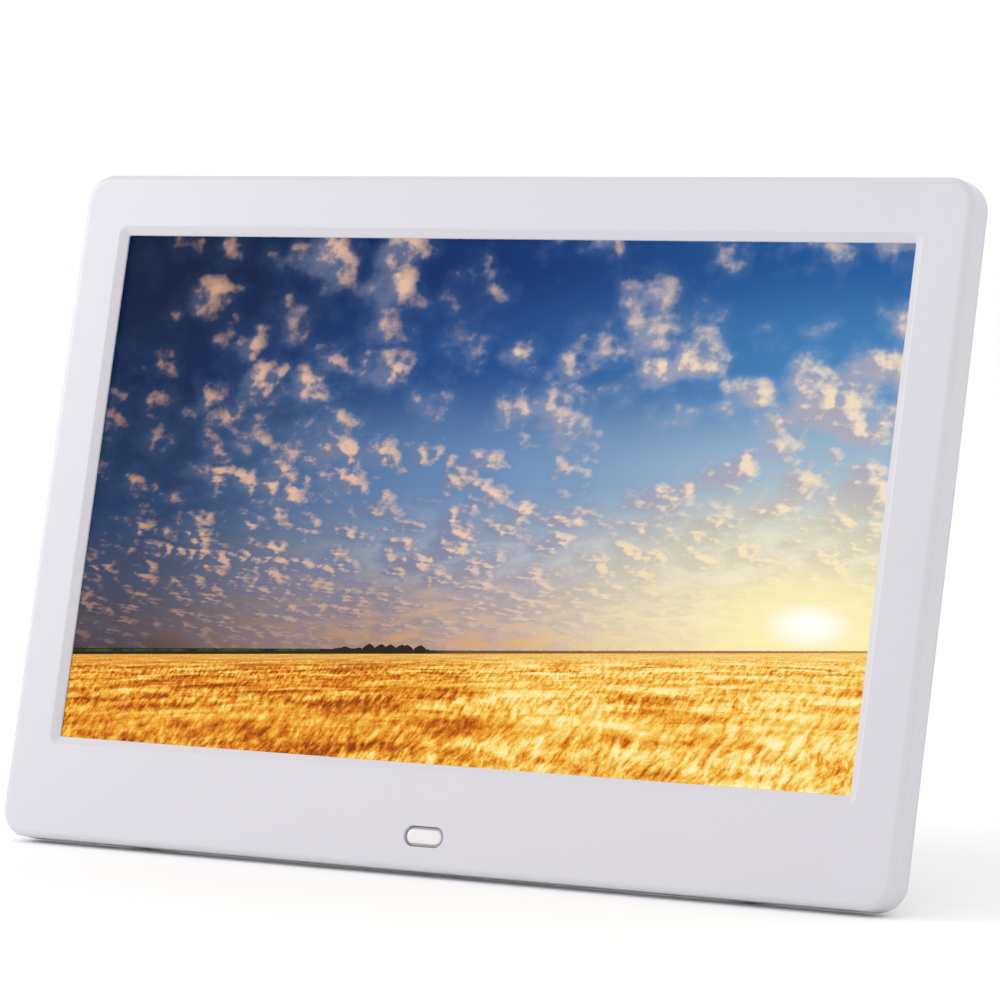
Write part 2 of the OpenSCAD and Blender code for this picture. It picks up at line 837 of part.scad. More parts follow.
module speaker_frame_left() { speaker_frame(-1); }
module speaker_frame_right() { speaker_frame(1); }
module speaker_cone_left() { speaker_cone(-1); }
module speaker_cone_right() { speaker_cone(1); }
module speaker_magnet_left() { speaker_magnet(-1); }
module speaker_magnet_right() { speaker_magnet(1); }
module speaker_lead_left() { speaker_lead(-1); }
module speaker_lead_right() { speaker_lead(1); }

front_bezel();
ir_window();
ir_receiver();
ir_board();
screen_gasket();
panel_frame();
display_panel();
diffuser_films();
light_guide();
led_strip();
panel_tray();
panel_driver_board();
panel_ribbon();
rear_cover();
cover_screws();
rubber_feet();
main_board();
board_screws();
processor();
memory_chips();
inductors();
capacitors();
wire_sockets();
clock_cell_holder();
clock_cell();
card_socket();
usb_socket();
mini_usb_socket();
headphone_socket();
power_inlet();
button_board();
button_board_screws();
switch_housings();
speaker_frame_left();
speaker_frame_right();
speaker_cone_left();
speaker_cone_right();
speaker_magnet_left();
speaker_magnet_right();
speaker_lead_left();
speaker_lead_right();
button_lead();
receiver_lead();
hinge_pin();
hinge_washers();
stand_leg();
leg_foot();
power_button();
menu_button();
exit_button();
left_button();
up_button();
down_button();
right_button();
enter_button();
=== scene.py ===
"""Looks of a 10.1-inch digital photo frame: a white two-shell housing, leaning back on a hinged leg.

Everything is built in the housing's own axes, in metres: X to the right seen from the front, Y from the
front face to the back, Z up from the lower edge. HousingPlace then leans and lifts it into the row frame.
"""

import json
import logging
import math
from dataclasses import dataclass
from enum import Enum
from typing import Sequence

import bmesh
import bpy
from mathutils import Matrix, Vector

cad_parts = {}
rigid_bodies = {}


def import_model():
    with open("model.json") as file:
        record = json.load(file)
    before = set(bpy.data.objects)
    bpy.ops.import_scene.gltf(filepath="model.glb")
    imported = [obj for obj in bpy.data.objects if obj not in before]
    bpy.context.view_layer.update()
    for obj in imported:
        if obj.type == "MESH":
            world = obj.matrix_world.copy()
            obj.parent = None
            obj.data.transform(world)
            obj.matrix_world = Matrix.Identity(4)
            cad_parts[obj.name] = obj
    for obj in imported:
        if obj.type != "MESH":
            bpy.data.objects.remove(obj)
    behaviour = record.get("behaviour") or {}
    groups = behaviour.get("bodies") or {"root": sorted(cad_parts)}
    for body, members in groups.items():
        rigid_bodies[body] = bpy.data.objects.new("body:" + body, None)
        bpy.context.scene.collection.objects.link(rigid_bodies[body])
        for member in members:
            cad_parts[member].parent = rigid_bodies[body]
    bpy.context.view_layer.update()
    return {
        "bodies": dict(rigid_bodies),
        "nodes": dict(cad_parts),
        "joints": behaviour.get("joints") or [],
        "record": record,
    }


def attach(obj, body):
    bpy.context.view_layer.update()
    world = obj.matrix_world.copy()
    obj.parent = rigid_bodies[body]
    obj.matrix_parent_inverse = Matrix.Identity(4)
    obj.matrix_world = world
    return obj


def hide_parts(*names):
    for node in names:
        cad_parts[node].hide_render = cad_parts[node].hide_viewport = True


MM = 0.001
log = logging.getLogger("photo_frame")


class Mark(Enum):
    """The printed sign beside a button."""

    POWER = "power"
    MENU = "menu"
    EXIT = "exit"
    LEFT = "left"
    UP = "up"
    DOWN = "down"
    RIGHT = "right"
    ENTER = "enter"


# ---------------------------------------------------------------- places


@dataclass(frozen=True)
class HousingPlace:
    """Where the leaning housing stands in the row frame."""

    housing: Matrix
    hinge_y: float = 17.2 * MM
    hinge_z: float = 96.0 * MM

    @staticmethod
    def from_frame(frame: dict) -> "HousingPlace":
        """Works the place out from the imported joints.


        Returns:
            The housing's place.
        """
        joints = {joint["name"]: joint for joint in frame["joints"]}
        press = Vector(joints["power_press"]["axis"])
        lean = math.atan2(press.z, -press.y)
        pivot = Vector(joints["leg_fold"]["pos_m"])
        turn = Matrix.Rotation(-lean, 4, "X")
        hinge = Vector((0, HousingPlace.hinge_y, HousingPlace.hinge_z))
        return HousingPlace(Matrix.Translation(pivot) @ turn @ Matrix.Translation(-hinge))


# ---------------------------------------------------------------- colours and node helpers


def tint(red: int, green: int, blue: int) -> tuple[float, float, float, float]:
    """Turns a screen colour, 0 to 255, into the linear colour that a shader takes.

    Args:
        red: red channel.
        green: green channel.
        blue: blue channel.

    Returns:
        Linear red, green, blue and an alpha of 1.
    """
    def linear(value: int) -> float:
        """One channel made linear."""
        share = value / 255
        return share / 12.92 if share <= 0.04045 else ((share + 0.055) / 1.055) ** 2.4

    return (linear(red), linear(green), linear(blue), 1.0)


class Graph:
    """A material's node tree with short calls for the nodes that the finishes share."""

    def __init__(self, name: str) -> None:
        """Makes an empty material with its shader and output.

        Args:
            name: the material's name.
        """
        self.material = bpy.data.materials.new(name)
        self.material.use_nodes = True
        self.tree = self.material.node_tree
        self.tree.nodes.clear()
        self.output = self.tree.nodes.new("ShaderNodeOutputMaterial")
        self.shader = self.tree.nodes.new("ShaderNodeBsdfPrincipled")
        self.link(self.shader.outputs["BSDF"], self.output.inputs["Surface"])
        self.coordinates = self.tree.nodes.new("ShaderNodeTexCoord")

    def link(self, source: bpy.types.NodeSocket, target: bpy.types.NodeSocket) -> None:
        """Joins one socket to another."""
        self.tree.links.new(source, target)

    def put(self, socket: str, value: object) -> None:
        """Sets a constant, or links a socket, on the shader's own input.

        Args:
            socket: the socket's name.
            value: a number, colour or socket.
        """
        if isinstance(value, bpy.types.NodeSocket):
            self.link(value, self.shader.inputs[socket])
        else:
            self.shader.inputs[socket].default_value = value

    def feed(self, node: bpy.types.Node, index: int | str, value: object) -> None:
        """Sets a constant, or links a socket, on any node's input.

        Args:
            node: the node.
            index: the input's number or name.
            value: a number, colour or socket.
        """
        if isinstance(value, bpy.types.NodeSocket):
            self.link(value, node.inputs[index])
        else:
            node.inputs[index].default_value = value

    def math(self, operation: str, a: object, b: object = 0.0, c: object = 0.0) -> bpy.types.NodeSocket:
        """Adds a Math node.

        Args:
            operation: the node's operation.
            a: first value or socket.
            b: second value or socket.
            c: third value or socket, which only some operations read.

        Returns:
            The result's socket.
        """
        node = self.tree.nodes.new("ShaderNodeMath")
        node.operation = operation
        for index, value in enumerate((a, b, c)):
            self.feed(node, index, value)
        return node.outputs[0]

    def mix(self, share: object, a: object, b: object) -> bpy.types.NodeSocket:
        """Adds a colour Mix node.

        Args:
            share: how much of b shows.
            a: first colour or socket.
            b: second colour or socket.

        Returns:
            The mixed colour's socket.
        """
        node = self.tree.nodes.new("ShaderNodeMix")
        node.data_type = "RGBA"
        self.feed(node, 0, share)
        self.feed(node, 6, a)
        self.feed(node, 7, b)
        return node.outputs[2]

    def ramp(self, value: object, stops: Sequence[tuple[float, object]],
             smooth: bool = True) -> bpy.types.NodeSocket:
        """Adds a ColorRamp node.

        Args:
            value: the socket that runs along the ramp.
            stops: (position, colour or grey level) pairs in order.
            smooth: whether the ramp eases between its stops.

        Returns:
            The colour's socket.
        """
        node = self.tree.nodes.new("ShaderNodeValToRGB")
        node.color_ramp.interpolation = "EASE" if smooth else "LINEAR"
        elements = node.color_ramp.elements
        while len(elements) < len(stops):
            elements.new(0.5)
        for element, (position, colour) in zip(elements, stops):
            element.position = position
            element.color = (colour, colour, colour, 1) if isinstance(colour, float) else colour
        self.feed(node, 0, value)
        return node.outputs[0]

    def steps(self, value: object, stops: Sequence[tuple[float, tuple]]) -> list[bpy.types.NodeSocket]:
        """Three values at once that jump at given positions.

        Args:
            value: the socket that the steps run along.
            stops: (position, three values) pairs in order.

        Returns:
            The three values' sockets.
        """
        colour = self.ramp(value, [(position, (*values, 1.0)) for position, values in stops])
        colour.node.color_ramp.interpolation = "CONSTANT"
        split = self.tree.nodes.new("ShaderNodeSeparateColor")
        self.link(colour, split.inputs[0])
        return list(split.outputs)

    def mapped(self, scale: tuple[float, float, float] = (1, 1, 1)) -> bpy.types.NodeSocket:
        """Adds a Mapping node on the piece's own coordinates.

        Args:
            scale: stretch along each axis.

        Returns:
            The mapped coordinate's socket.
        """
        node = self.tree.nodes.new("ShaderNodeMapping")
        node.inputs["Scale"].default_value = scale
        self.link(self.coordinates.outputs["Object"], node.inputs["Vector"])
        return node.outputs[0]

    def noise(self, vector: object, scale: float, detail: float = 3.0, roughness: float = 0.5,
              distortion: float = 0.0) -> bpy.types.NodeSocket:
        """Adds a Noise Texture and returns its factor.

        Args:
            vector: the coordinates that it reads.
            scale: how fine the pattern is.
            detail: how many finer layers it has.
            roughness: how strong the finer layers are.
            distortion: how much it is twisted.

        Returns:
            The pattern's socket.
        """
        node = self.tree.nodes.new("ShaderNodeTexNoise")
        self.link(vector, node.inputs["Vector"])
        node.inputs["Scale"].default_value = scale
        node.inputs["Detail"].default_value = detail
        node.inputs["Roughness"].default_value = roughness
        node.inputs["Distortion"].default_value = distortion
        return node.outputs["Fac"]

    def bump(self, height: object, strength: float, distance: float) -> None:
        """Adds a Bump node to the shader's normal.

        Args:
            height: the socket that gives the height.
            strength: share of the bump.
            distance: the height's real size, in metres.
        """
        node = self.tree.nodes.new("ShaderNodeBump")
        node.inputs["Strength"].default_value = strength
        node.inputs["Distance"].default_value = distance
        self.link(height, node.inputs["Height"])
        self.put("Normal", node.outputs["Normal"])


# ---------------------------------------------------------------- finishes


@dataclass(frozen=True)
class MouldedPlastic:
    """Injection-moulded plastic: fine grain, faint cloudiness in colour and gloss."""

    name: str
    colour: tuple[float, float, float, float]
    roughness: float = 0.35
    grain: float = 0.02 * MM
    grain_scale: float = 1400.0
    specular: float = 0.5
    coat: float = 0.0

    def material(self) -> bpy.types.Material:
        """Builds the plastic's material.

        Returns:
            The finished material.
        """
        graph = Graph(self.name)
        near = graph.mapped()
        cloud = graph.noise(near, 18, 2)
        dark = tuple(c * 0.965 for c in self.colour[:3]) + (1.0,)
        graph.put("Base Color", graph.mix(cloud, dark, self.colour))
        low, high = self.roughness * 0.88, min(1.0, self.roughness * 1.12)
        fine = graph.noise(near, self.grain_scale, 2, 0.6)
        graph.put("Roughness", graph.ramp(fine, [(0.3, low), (0.7, high)], smooth=False))
        graph.put("Specular IOR Level", self.specular)
        graph.put("Coat Weight", self.coat)
        graph.put("Coat Roughness", 0.12)
        graph.bump(fine, 0.5, self.grain)
        return graph.material


@dataclass(frozen=True)
class SoftRubber:
    """Matt rubber with a fine tooth."""

    name: str
    colour: tuple[float, float, float, float]

    def material(self) -> bpy.types.Material:
        """Builds the rubber's material.

        Returns:
            The finished material.
        """
        graph = Graph(self.name)
        near = graph.mapped()
        tooth = graph.noise(near, 2600, 3, 0.7)
        dust = graph.noise(near, 120, 4, 0.6)
        pale = tuple(min(1.0, c * 1.7 + 0.01) for c in self.colour[:3]) + (1.0,)
        graph.put("Base Color", graph.mix(graph.ramp(dust, [(0.45, 0.0), (0.8, 0.5)]), self.colour, pale))
        graph.put("Roughness", graph.ramp(tooth, [(0.2, 0.72), (0.8, 0.95)], smooth=False))
        graph.put("Specular IOR Level", 0.3)
        graph.bump(tooth, 0.6, 0.03 * MM)
        return graph.material


@dataclass(frozen=True)
class WorkedMetal:
    """Rolled, plated or turned metal with its fine tool marks."""

    name: str
    colour: tuple[float, float, float, float]
    roughness: float = 0.3
    stretch: tuple[float, float, float] = (0.05, 1.0, 1.0)
    marks: float = 900.0

    def material(self) -> bpy.types.Material:
        """Builds the metal's material.

        Returns:
            The finished material.
        """
        graph = Graph(self.name)
        drawn = graph.noise(graph.mapped(self.stretch), self.marks, 4, 0.6)
        stain = graph.noise(graph.mapped(), 60, 3)
        dull = tuple(c * 0.78 for c in self.colour[:3]) + (1.0,)
        graph.put("Base Color", graph.mix(graph.ramp(stain, [(0.4, 0.0), (0.75, 0.7)]), self.colour, dull))
        graph.put("Metallic", 1.0)
        graph.put("Roughness", graph.ramp(drawn, [(0.25, self.roughness * 0.7), (0.75, self.roughness * 1.35)]))
        graph.bump(drawn, 0.25, 0.01 * MM)
        return graph.material


@dataclass(frozen=True)
class CircuitResin:
    """Green solder mask over copper: tracks show as slightly paler lines."""

    name: str
    colour: tuple[float, float, float, float]
    track: tuple[float, float, float, float]

    def material(self) -> bpy.types.Material:
        """Builds the board's material.

        Returns:
            The finished material.
        """
        graph = Graph(self.name)
        near = graph.mapped()
        cells = graph.tree.nodes.new("ShaderNodeTexVoronoi")
        cells.distance = "MANHATTAN"
        cells.feature = "DISTANCE_TO_EDGE"
        cells.inputs["Scale"].default_value = 330
        graph.link(near, cells.inputs["Vector"])
        tracks = graph.ramp(cells.outputs["Distance"], [(0.06, 1.0), (0.1, 0.0)], smooth=False)
        cloud = graph.noise(near, 90, 2)
        base = graph.mix(tracks, self.colour, self.track)
        graph.put("Base Color", graph.mix(graph.math("MULTIPLY", cloud, 0.25), base, tint(10, 45, 25)))
        graph.put("Roughness", graph.ramp(cloud, [(0.3, 0.28), (0.7, 0.42)]))
        graph.bump(tracks, 0.4, 0.03 * MM)
        return graph.material


@dataclass(frozen=True)
class MilkyWindow:
    """The receiver's window: pale, slightly see-through plastic with a clear gloss."""

    name: str
    colour: tuple[float, float, float, float]

    def material(self) -> bpy.types.Material:
        """Builds the window's material.

        Returns:
            The finished material.
        """
        graph = Graph(self.name)
        near = graph.mapped()
        depth = graph.noise(near, 260, 2)
        warm = tuple(c * f for c, f in zip(self.colour[:3], (1.0, 0.98, 0.96))) + (1.0,)
        graph.put("Base Color", graph.mix(depth, self.colour, warm))
        graph.put("Subsurface Weight", 0.35)
        graph.put("Subsurface Radius", (1.2 * MM, 1.0 * MM, 0.9 * MM))
        graph.put("Roughness", graph.ramp(depth, [(0.3, 0.1), (0.7, 0.16)]))
        graph.put("Coat Weight", 0.4)
        graph.put("Coat Roughness", 0.04)
        return graph.material


@dataclass(frozen=True)
class Band:
    """A level strip of the picture in which clouds or ears of wheat keep one size.

    Fields: the height where the strip is fullest, how many puffs or ears fit across the picture's width and up
    its height in thousands, and an offset in thousands that keeps its pattern its own.
    """

    level: float
    across: float
    up: float
    offset: float


@dataclass(frozen=True)
class Bands:
    """A row of bands, each of which fades into the next. Two of them are seen at any height."""

    row: tuple[Band, ...]

    def share(self, graph: Graph, height: object) -> bpy.types.NodeSocket:
        """How much of the picture the first, third and further odd bands give at a height."""
        return graph.ramp(height, [(band.level, float(index % 2 == 0)) for index, band in enumerate(self.row)],
                          smooth=False)

    def place(self, graph: Graph, height: object, u: object, start: int) -> tuple:
        """Pattern coordinates of every second band.

        Args:
            graph: the material's nodes.
            height: place up the picture.
            u: place across the picture.
            start: 0 for the first, third and further odd bands, 1 for the even ones.

        Returns:
            The sockets of the pattern's across and up coordinates.
        """
        stops = []
        for index in range(start, len(self.row), 2):
            band = self.row[index]
            begin = self.row[index - 1].level if index > 1 else 0.0
            stops.append((begin, (band.across, band.up, band.offset)))
        across, up, offset = graph.steps(height, stops)
        shift = graph.math("MULTIPLY", offset, 1000.0)
        return (graph.math("MULTIPLY_ADD", graph.math("MULTIPLY", u, across), 1000.0, shift),
                graph.math("MULTIPLY_ADD", graph.math("MULTIPLY", height, up), 1000.0, shift))


@dataclass(frozen=True)
class EveningField:
    """A generic landscape for the lit screen: an evening sky over a field of ripe wheat.

    The piece's UV map runs from 0 to 1 over the picture area. The horizon climbs a little to the right.
    """

    name: str
    horizon_left: float = 0.166
    horizon_right: float = 0.259
    sun: tuple[float, float] = (0.925, 0.3)
    brightness: float = 1.0
    clouds: Bands = Bands((
        Band(0.08, 0.030, 0.052, 0.053), Band(0.23, 0.026, 0.024, 0.042), Band(0.46, 0.020, 0.0125, 0.029),
        Band(0.72, 0.016, 0.0085, 0.018), Band(0.98, 0.013, 0.0062, 0.003)))
    wheat: Bands = Bands((
        Band(0.0, 0.28, 0.26, 0.005), Band(0.035, 0.22, 0.1, 0.012), Band(0.085, 0.145, 0.052, 0.019),
        Band(0.17, 0.098, 0.034, 0.031)))

    def _above(self, graph: Graph, u: bpy.types.NodeSocket, v: bpy.types.NodeSocket) -> bpy.types.NodeSocket:
        """Height over the horizon as a share of the picture, below 0 in the field."""
        line = graph.math("MULTIPLY_ADD", u, self.horizon_right - self.horizon_left, self.horizon_left)
        return graph.math("SUBTRACT", v, line)

    def _flat(self, graph: Graph, x: object, y: object) -> bpy.types.NodeSocket:
        """Joins two values into a vector with no third part.

        Args:
            graph: the material's nodes.
            x: its first part.
            y: its second part.

        Returns:
            The vector's socket.
        """
        node = graph.tree.nodes.new("ShaderNodeCombineXYZ")
        graph.feed(node, "X", x)
        graph.feed(node, "Y", y)
        return node.outputs[0]

    def _sky(self, graph: Graph, u: object, rise: object) -> bpy.types.NodeSocket:
        """The cloudless sky: deep blue above, mauve at the left of the horizon, cream at its right.

        Args:
            graph: the material's nodes.
            u: place across the picture.
            rise: height over the horizon.

        Returns:
            The colour's socket.
        """
        left = graph.ramp(rise, [
            (0.0, tint(78, 58, 62)), (0.07, tint(92, 80, 86)), (0.18, tint(70, 76, 94)),
            (0.4, tint(32, 54, 92)), (0.75, tint(12, 34, 74)), (1.0, tint(8, 26, 60))])
        middle = graph.ramp(rise, [
            (0.0, tint(214, 160, 112)), (0.1, tint(202, 170, 148)), (0.25, tint(166, 172, 186)),
            (0.45, tint(104, 140, 184)), (0.75, tint(32, 76, 140)), (1.0, tint(14, 50, 110))])
        right = graph.ramp(rise, [
            (0.0, tint(252, 232, 160)), (0.08, tint(250, 240, 206)), (0.2, tint(232, 226, 216)),
            (0.42, tint(164, 190, 206)), (0.7, tint(68, 128, 184)), (1.0, tint(30, 86, 152))])
        near = graph.mix(graph.ramp(u, [(0.05, 0.0), (0.55, 1.0)]), left, middle)
        return graph.mix(graph.ramp(u, [(0.45, 0.0), (0.95, 1.0)]), near, right)

    def _puff(self, graph: Graph, across: object, up: object) -> bpy.types.NodeSocket:
        """Height of a field of soft round puffs, ragged only at their rims.

        Args:
            graph: the material's nodes.
            across: place across the pattern.
            up: place up the pattern.

        Returns:
            The height of the puffs there.
        """
        here = self._flat(graph, across, up)
        wander = graph.tree.nodes.new("ShaderNodeTexNoise")
        wander.inputs["Scale"].default_value = 1.3
        wander.inputs["Detail"].default_value = 3
        graph.link(here, wander.inputs["Vector"])
        push = graph.tree.nodes.new("ShaderNodeVectorMath")
        push.operation = "MULTIPLY_ADD"
        graph.link(wander.outputs["Color"], push.inputs[0])
        push.inputs[1].default_value = (1.0, 1.0, 0.0)
        graph.link(here, push.inputs[2])
        cells = graph.tree.nodes.new("ShaderNodeTexVoronoi")
        cells.inputs["Scale"].default_value = 1.0
        graph.link(push.outputs[0], cells.inputs["Vector"])
        fluff = graph.noise(here, 2.4, 5, 0.54)
        puff = graph.math("SUBTRACT", 1.0, cells.outputs["Distance"])
        return graph.math("MULTIPLY_ADD", graph.math("SUBTRACT", fluff, 0.5), 0.85, puff)

    def _sheet(self, graph: Graph, u: object, rise: object, shift: tuple[float, float]) -> bpy.types.NodeSocket:
        """All bands of cloud together.

        Args:
            graph: the material's nodes.
            u: place across the picture.
            rise: height over the horizon.
            shift: how far to look aside, in puffs, to tell the lit side of a puff from its shaded side.

        Returns:
            The height of the cloud there.
        """
        share = self.clouds.share(graph, rise)
        odd, even = (self._puff(graph, graph.math("ADD", across, shift[0]), graph.math("ADD", up, shift[1]))
                     for across, up in (self.clouds.place(graph, rise, u, start) for start in (0, 1)))
        return graph.math("MULTIPLY_ADD", share, graph.math("SUBTRACT", odd, even), even)

    def _clouds(self, graph: Graph, u: object, rise: object, sky: object) -> bpy.types.NodeSocket:
        """Small soft clouds, smaller and denser towards the horizon, grey-blue with tops lit from the right.

        Args:
            graph: the material's nodes.
            u: place across the picture.
            rise: height over the horizon.
            sky: the colour behind.

        Returns:
            The colour's socket.
        """
        here = self._sheet(graph, u, rise, (0.0, 0.0))
        toward_sun = self._sheet(graph, u, rise, (0.17, 0.1))
        depth = graph.math("DIVIDE", 1.0, graph.math("ADD", rise, 0.35))
        across = graph.math("MULTIPLY", graph.math("SUBTRACT", u, 0.62), graph.math("MULTIPLY", depth, 3.4))
        banks = graph.noise(self._flat(graph, across, graph.math("MULTIPLY", depth, 2.6)), 1.25, 3, 0.62)
        lift = graph.ramp(rise, [(0.0, 0.34), (0.15, 0.33), (0.35, 0.26), (0.65, 0.1), (1.0, 0.04)])
        body = graph.math("MULTIPLY_ADD", graph.math("SUBTRACT", banks, 0.5), 1.5, graph.math("ADD", here, lift))
        veil = graph.math("MULTIPLY", graph.ramp(body, [(0.34, 0.0), (0.64, 0.4), (0.85, 0.62)]),
                          graph.ramp(rise, [(0.5, 1.0), (0.9, 0.35)]))
        bright = graph.math("ADD", body, graph.ramp(u, [(0.0, 0.0), (0.3, 0.06), (0.7, 0.1)], smooth=False))
        core = graph.ramp(graph.math("MULTIPLY", bright, 0.8), [(0.52, 0.0), (0.66, 0.5), (0.82, 0.95)],
                          smooth=False)
        slope = graph.math("MULTIPLY_ADD", graph.math("SUBTRACT", here, toward_sun), 2.6, 0.3)
        lit = graph.ramp(slope, [(0.22, 0.0), (0.8, 1.0)])
        warm = graph.ramp(u, [(0.0, tint(208, 156, 128)), (0.3, tint(238, 194, 164)),
                              (0.65, tint(250, 218, 188)), (1.0, tint(252, 228, 196))])
        cool = graph.ramp(u, [(0.0, tint(60, 74, 104)), (0.35, tint(112, 122, 152)),
                              (0.7, tint(160, 160, 180)), (1.0, tint(178, 170, 180))])
        haze = graph.ramp(u, [(0.0, tint(48, 70, 108)), (0.4, tint(88, 124, 170)), (1.0, tint(160, 182, 206))])
        low = graph.ramp(u, [(0.0, tint(72, 62, 72)), (0.35, tint(150, 124, 122)), (0.6, tint(206, 180, 164)),
                             (0.9, tint(246, 222, 172))])
        ground = graph.ramp(rise, [(0.02, 0.85), (0.34, 0.0)])
        veiled = graph.mix(veil, sky, graph.mix(ground, haze, low))
        cloud = graph.mix(graph.math("MULTIPLY", ground, 0.6), graph.mix(lit, cool, warm), low)
        thin = graph.ramp(rise, [(0.02, 0.35), (0.12, 0.75), (0.3, 0.9), (1.0, 0.9)])
        return graph.mix(graph.math("MULTIPLY", core, thin), veiled, cloud)

    def _glow(self, graph: Graph, u: object, v: object, sky: object) -> bpy.types.NodeSocket:
        """The low sun and the light around it, wider than it is high.

        Args:
            graph: the material's nodes.
            u: place across the picture.
            v: place up the picture.
            sky: the colour behind.

        Returns:
            The colour's socket.
        """
        dx = graph.math("MULTIPLY", graph.math("SUBTRACT", u, self.sun[0]), 1.1)
        dy = graph.math("MULTIPLY", graph.math("SUBTRACT", v, self.sun[1]), 1.35)
        far = graph.math("SQRT", graph.math("ADD", graph.math("MULTIPLY", dx, dx), graph.math("MULTIPLY", dy, dy)))
        halo = graph.ramp(far, [(0.0, 1.0), (0.07, 0.8), (0.18, 0.4), (0.42, 0.0)])
        glowing = graph.mix(halo, sky, tint(255, 244, 182))
        return graph.mix(graph.ramp(far, [(0.01, 1.0), (0.07, 0.0)]), glowing, tint(255, 255, 248))

    def _field(self, graph: Graph, u: object, drop: object) -> bpy.types.NodeSocket:
        """Ripe wheat: leaning ears close by, running together into bright and dark bands farther away.

        Args:
            graph: the material's nodes.
            u: place across the picture.
            drop: distance below the horizon.

        Returns:
            The colour's socket.
        """
        gusts = self._flat(graph, graph.math("MULTIPLY", u, 9.0), graph.math("MULTIPLY", drop, 9.0))
        sway = graph.noise(gusts, 1.0, 2)
        leaning = graph.math("MULTIPLY_ADD", drop, graph.math("MULTIPLY_ADD", sway, 0.2, 0.22), u)
        share = self.wheat.share(graph, drop)
        odd, even = (graph.noise(self._flat(graph, across, up), 1.0, 4, 0.72)
                     for across, up in (self.wheat.place(graph, drop, leaning, start) for start in (0, 1)))
        ears = graph.math("MULTIPLY_ADD", share, graph.math("SUBTRACT", odd, even), even)
        depth = graph.math("DIVIDE", 1.0, graph.math("ADD", drop, 0.05))
        across = graph.math("MULTIPLY", graph.math("SUBTRACT", u, 0.55), depth)
        patches = graph.noise(self._flat(graph, across, graph.math("MULTIPLY", depth, 0.9)), 1.15, 3, 0.55, 0.4)
        light = graph.ramp(u, [(0.0, 0.03), (0.2, 0.05), (0.4, 0.01), (0.62, 0.19), (1.0, 0.19)])
        tone = graph.math("ADD", graph.math("MULTIPLY_ADD", graph.math("SUBTRACT", patches, 0.5), 0.95, light),
                          graph.math("MULTIPLY_ADD", ears, 1.5, -0.31))
        wheat = graph.ramp(tone, [
            (0.24, tint(140, 62, 6)), (0.37, tint(196, 100, 14)), (0.48, tint(229, 146, 36)),
            (0.58, tint(243, 184, 66)), (0.68, tint(251, 216, 112)), (0.82, tint(255, 241, 178))], smooth=False)
        far = graph.ramp(drop, [(0.0, 0.75), (0.03, 0.0)])
        rim = graph.ramp(u, [(0.0, tint(232, 164, 70)), (0.5, tint(240, 190, 98)), (1.0, tint(248, 208, 118))])
        return graph.mix(far, wheat, rim)

    def _horizon(self, graph: Graph, u: object, above: object, picture: object) -> bpy.types.NodeSocket:
        """A thin dark line of hedges, with a green strip at its left and a clump of trees beside that.

        Args:
            graph: the material's nodes.
            u: place across the picture.
            above: height over the horizon, below 0 in the field.
            picture: the colour behind.

        Returns:
            The colour's socket.
        """
        rough = graph.noise(self._flat(graph, u, 0.0), 150, 4, 0.6)
        crowns = graph.tree.nodes.new("ShaderNodeTexVoronoi")
        crowns.voronoi_dimensions = "1D"
        crowns.inputs["Scale"].default_value = 75.0
        graph.link(u, crowns.inputs["W"])
        round_top = graph.math("MAXIMUM", graph.math("SUBTRACT", 0.62, crowns.outputs["Distance"]), 0.0)
        crown = graph.math("SQRT", round_top)
        trees = graph.ramp(u, [(0.345, 0.0), (0.362, 0.5), (0.374, 0.12), (0.39, 1.0), (0.43, 0.9), (0.462, 0.85),
                               (0.472, 0.0)])
        bank = graph.ramp(u, [(0.0, 0.01), (0.33, 0.007), (0.5, 0.003), (1.0, 0.001)], smooth=False)
        height = graph.math("MULTIPLY_ADD", graph.math("MULTIPLY", trees, crown), 0.014,
                            graph.math("MULTIPLY_ADD", rough, 0.003, bank))
        under = graph.math("LESS_THAN", above, height)
        inside = graph.math("MULTIPLY", under, graph.math("GREATER_THAN", above, -0.0015))
        hedge = graph.ramp(u, [(0.0, tint(40, 30, 16)), (0.46, tint(44, 34, 18)), (0.52, tint(112, 82, 48)),
                               (0.8, tint(168, 112, 62)), (1.0, tint(196, 140, 76))])
        verge = graph.ramp(graph.noise(self._flat(graph, graph.math("MULTIPLY", u, 40.0), 0.0), 1.0, 2),
                           [(0.35, tint(30, 34, 14)), (0.6, tint(58, 78, 28))])
        strip = graph.math("MULTIPLY", graph.math("GREATER_THAN", above, 0.004), graph.math("LESS_THAN", u, 0.33))
        strip = graph.math("MULTIPLY", strip, graph.math("LESS_THAN", above, 0.009))
        return graph.mix(inside, picture, graph.mix(strip, hedge, verge))

    def material(self) -> bpy.types.Material:
        """Builds the lit picture behind its matt polariser.

        Returns:
            The finished material.
        """
        graph = Graph(self.name)
        split = graph.tree.nodes.new("ShaderNodeSeparateXYZ")
        graph.link(graph.coordinates.outputs["UV"], split.inputs[0])
        u, v = split.outputs[0], split.outputs[1]
        above = self._above(graph, u, v)
        rise = graph.math("DIVIDE", above, 1.0 - self.horizon_right)
        sky = self._glow(graph, u, v, self._clouds(graph, u, rise, self._sky(graph, u, rise)))
        field_colour = self._field(graph, u, graph.math("MULTIPLY", above, -1.0))
        picture = graph.mix(graph.math("LESS_THAN", above, 0.0), sky, field_colour)
        picture = self._horizon(graph, u, above, picture)
        graph.put("Base Color", tint(8, 8, 10))
        graph.put("Emission Color", picture)
        graph.put("Emission Strength", self.brightness)
        haze = graph.noise(graph.mapped(), 3200, 2)
        graph.put("Roughness", graph.ramp(haze, [(0.3, 0.42), (0.7, 0.52)], smooth=False))
        graph.put("Specular IOR Level", 0.03)
        graph.bump(haze, 0.2, 0.005 * MM)
        return graph.material


# ---------------------------------------------------------------- shaping


